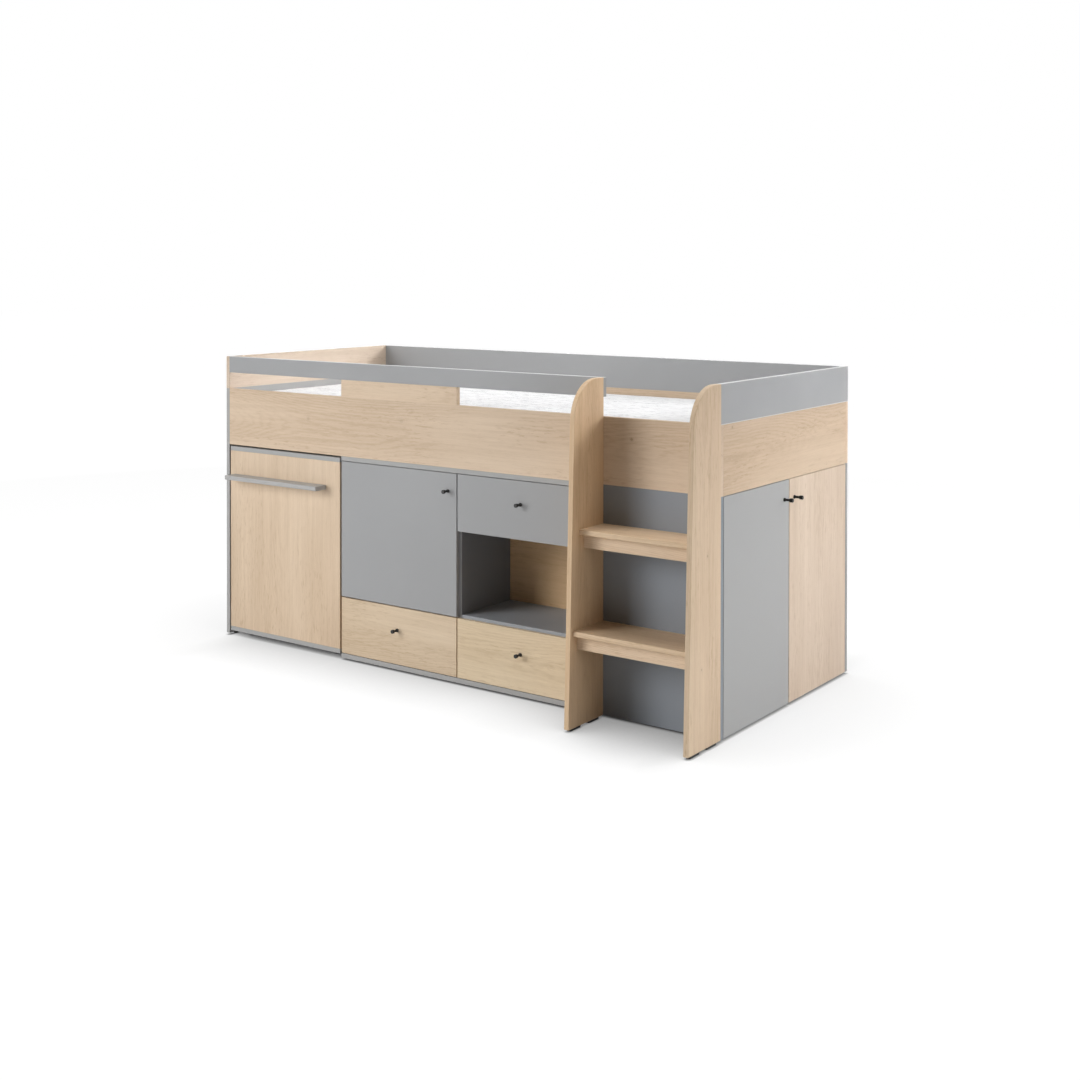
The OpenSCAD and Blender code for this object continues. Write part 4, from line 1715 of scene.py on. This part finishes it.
@dataclass
class Studio:
    """White floor and background, soft lamps and the camera of the photograph.

    Attributes:
        ambient: Strength of the even light from all sides.
        floor_size: Half the width of the floor.
        floor_cells: Number of its faces along each side.
        floor_white: Whiteness of the floor as the camera sees it.
        floor_bounce: Whiteness of the floor for the light that it throws back.
        floor_lift: White that is added to the floor where the camera sees it.
        floor_fade: Distances between which the floor fades to the white of the background.
        soft_shadow: The object's soft painted shade on the floor.
        touch_line: The thin dark line of painted shade under the object's lower edges.
        lamps: The soft lamps.
        eye: Where the camera stands.
        yaw: Its turn to the left of +Y, in degrees.
        pitch: Its tilt below the horizon, in degrees.
        lens: Its focal length in millimetres.
        sensor: Width of its sensor in millimetres.
        shift: Shift of its frame.
        clip: Nearest and farthest distance that it sees.
    """

    ambient: float = 0.02
    floor_size: float = 30.0
    floor_cells: int = 8
    floor_white: float = 0.10
    floor_bounce: float = 0.75
    floor_lift: float = 0.96
    floor_fade: tuple[float, float] = (2.6, 5.5)
    soft_shadow: ContactShadow = ContactShadow((0.88, 1.06), (0.38, 0.75), (0.65, 0.27))
    touch_line: ContactShadow = ContactShadow((0.985, 1.01), (0.010, 0.012), (0.8, 1.8))
    lamps: tuple[SoftBox, ...] = (
        SoftBox("front_softbox", (-3.1, -5.4, 3.1), (0.1, -0.3, 0.5), (2.8, 2.8), 208.0),
        SoftBox("low_grid", (-2.6, -3.6, 0.8), (0.1, -0.37, 0.15), (1.6, 1.2), 8.4, 70.0),
        SoftBox("end_softbox", (4.0, 4.3, 3.4), (0.9, 0.0, 0.6), (2.2, 2.2), 178.0),
        SoftBox("end_grid", (3.53, 3.68, 2.0), (1.0, -0.1, 0.42), (0.8, 0.8), 2.6, 24.0),
        SoftBox("inner_grid", (4.0, 4.3, 3.4), (-1.0, 0.1, 1.0), (1.6, 1.6), 3.4, 16.0),
        SoftBox("side_softbox", (5.2, -1.2, 2.0), (1.0, 0.0, 0.5), (2.4, 2.4), 48.0),
        SoftBox("top_softbox", (0.2, 0.2, 4.4), (0.1, 0.0, 0.6), (3.0, 2.0), 100.0),
    )
    eye: Point = (2.9915, -4.3263, 1.4087)
    yaw: float = 38.425
    pitch: float = 0.684
    lens: float = 49.600
    sensor: float = 36.0
    shift: tuple[float, float] = (0.1188, -0.2419)
    clip: tuple[float, float] = (0.05, 200.0)

    def build(self) -> None:
        """Builds the floor, the background, the lamps and the camera."""
        self._background()
        self._floor()
        for lamp in self.lamps:
            lamp.hang()
        self._camera()
        bpy.context.scene.view_settings.view_transform = "Standard"
        LOG.info("studio: floor, background, %d lamps and camera", len(self.lamps))

    def _seen(self, net: Wiring) -> Socket:
        """Tells the camera's rays from those that light the object.

        Args:
            net: Wiring of the background or floor.

        Returns:
            1 for what the camera sees, also through glass or in a reflection, else 0.
        """
        rays = net.add("ShaderNodeLightPath").outputs
        seen = net.math("MAXIMUM", rays["Is Camera Ray"], rays["Is Transmission Ray"])
        return net.math("MAXIMUM", seen, rays["Is Glossy Ray"])

    def _background(self) -> None:
        """Makes the surroundings white for the eye and reflections, and dim for the object."""
        world = bpy.data.worlds.new("white_surroundings")
        bpy.context.scene.world = world
        world.use_nodes = True
        world.node_tree.nodes.clear()
        net = Wiring(world.node_tree)
        strength = net.math("MAXIMUM", self._seen(net), self.ambient)
        glow = net.add("ShaderNodeBackground", {"Color": WHITE_LIGHT, "Strength": strength})
        net.add("ShaderNodeOutputWorld", {"Surface": glow.outputs[0]})

    def _floor(self) -> None:
        """Lays the white floor, which keeps a faint real shadow of the object under a glow
        darkened by painted shade beside it.
        """
        made, net, place = new_material("white_floor")
        seen = self._seen(net)
        away = net.add("ShaderNodeVectorMath", {0: place}, operation="LENGTH").outputs["Value"]
        fade = net.ramp(away, *self.floor_fade)
        # Painted shade: the floor's glow is darkened where the object stands near, less at its
        # ends.
        across = net.math("ABSOLUTE", net.split(place)[0])
        shadows = (self.soft_shadow, self.touch_line)
        openness = net.times(*(shadow.openness(net, across) for shadow in shadows))
        white = net.math("MAXIMUM", fade, net.times(openness, self.floor_lift))
        strength = net.times(seen, white)
        glow = net.add("ShaderNodeEmission", {"Color": WHITE_LIGHT, "Strength": strength})
        shade = net.ramp(seen, 0.0, 1.0, self.floor_bounce, self.floor_white)
        matt = net.add("ShaderNodeBsdfDiffuse", {"Color": shade})
        both = net.add("ShaderNodeAddShader", {0: matt.outputs[0], 1: glow.outputs[0]})
        net.add("ShaderNodeOutputMaterial", {"Surface": both.outputs[0]})
        form = bmesh.new()
        cells = self.floor_cells
        bmesh.ops.create_grid(form, x_segments=cells, y_segments=cells, size=self.floor_size)
        new_piece("studio_floor", form, made)

    def _camera(self) -> None:
        """Sets the camera at the photograph's place, turn and framing."""
        yaw, pitch = math.radians(self.yaw), math.radians(self.pitch)
        ahead = Vector((-math.sin(yaw), math.cos(yaw), 0.0)) * math.cos(pitch)
        ahead.z = -math.sin(pitch)
        right = Vector((math.cos(yaw), math.sin(yaw), 0.0))
        lens = bpy.data.cameras.new("photo_camera")
        lens.sensor_width, lens.sensor_fit, lens.lens = self.sensor, "HORIZONTAL", self.lens
        lens.shift_x, lens.shift_y = self.shift
        lens.clip_start, lens.clip_end = self.clip
        lens.dof.use_dof = False
        camera = bpy.data.objects.new("photo_camera", lens)
        turn = Matrix((right, right.cross(ahead), -ahead)).transposed().to_4x4()
        camera.matrix_world = Matrix.Translation(self.eye) @ turn
        bpy.context.scene.collection.objects.link(camera)
        bpy.context.scene.camera = camera


def main() -> None:
    """Loads the model, builds the studio, builds and dresses each sub-assembly in turn, and builds
    the mattress.
    """
    logging.basicConfig(level=logging.INFO, format="%(name)s: %(message)s")
    for thing in list(bpy.data.objects):
        bpy.data.objects.remove(thing)
    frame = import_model()
    Studio().build()
    for kind in (BedFrame, Ladder, Chest, Wardrobe, Fronts, Desk):
        part = kind(frame["nodes"])
        part.dress()
        part.build_screws()
    Mattress().build()


if __name__ == "__main__":
    main()
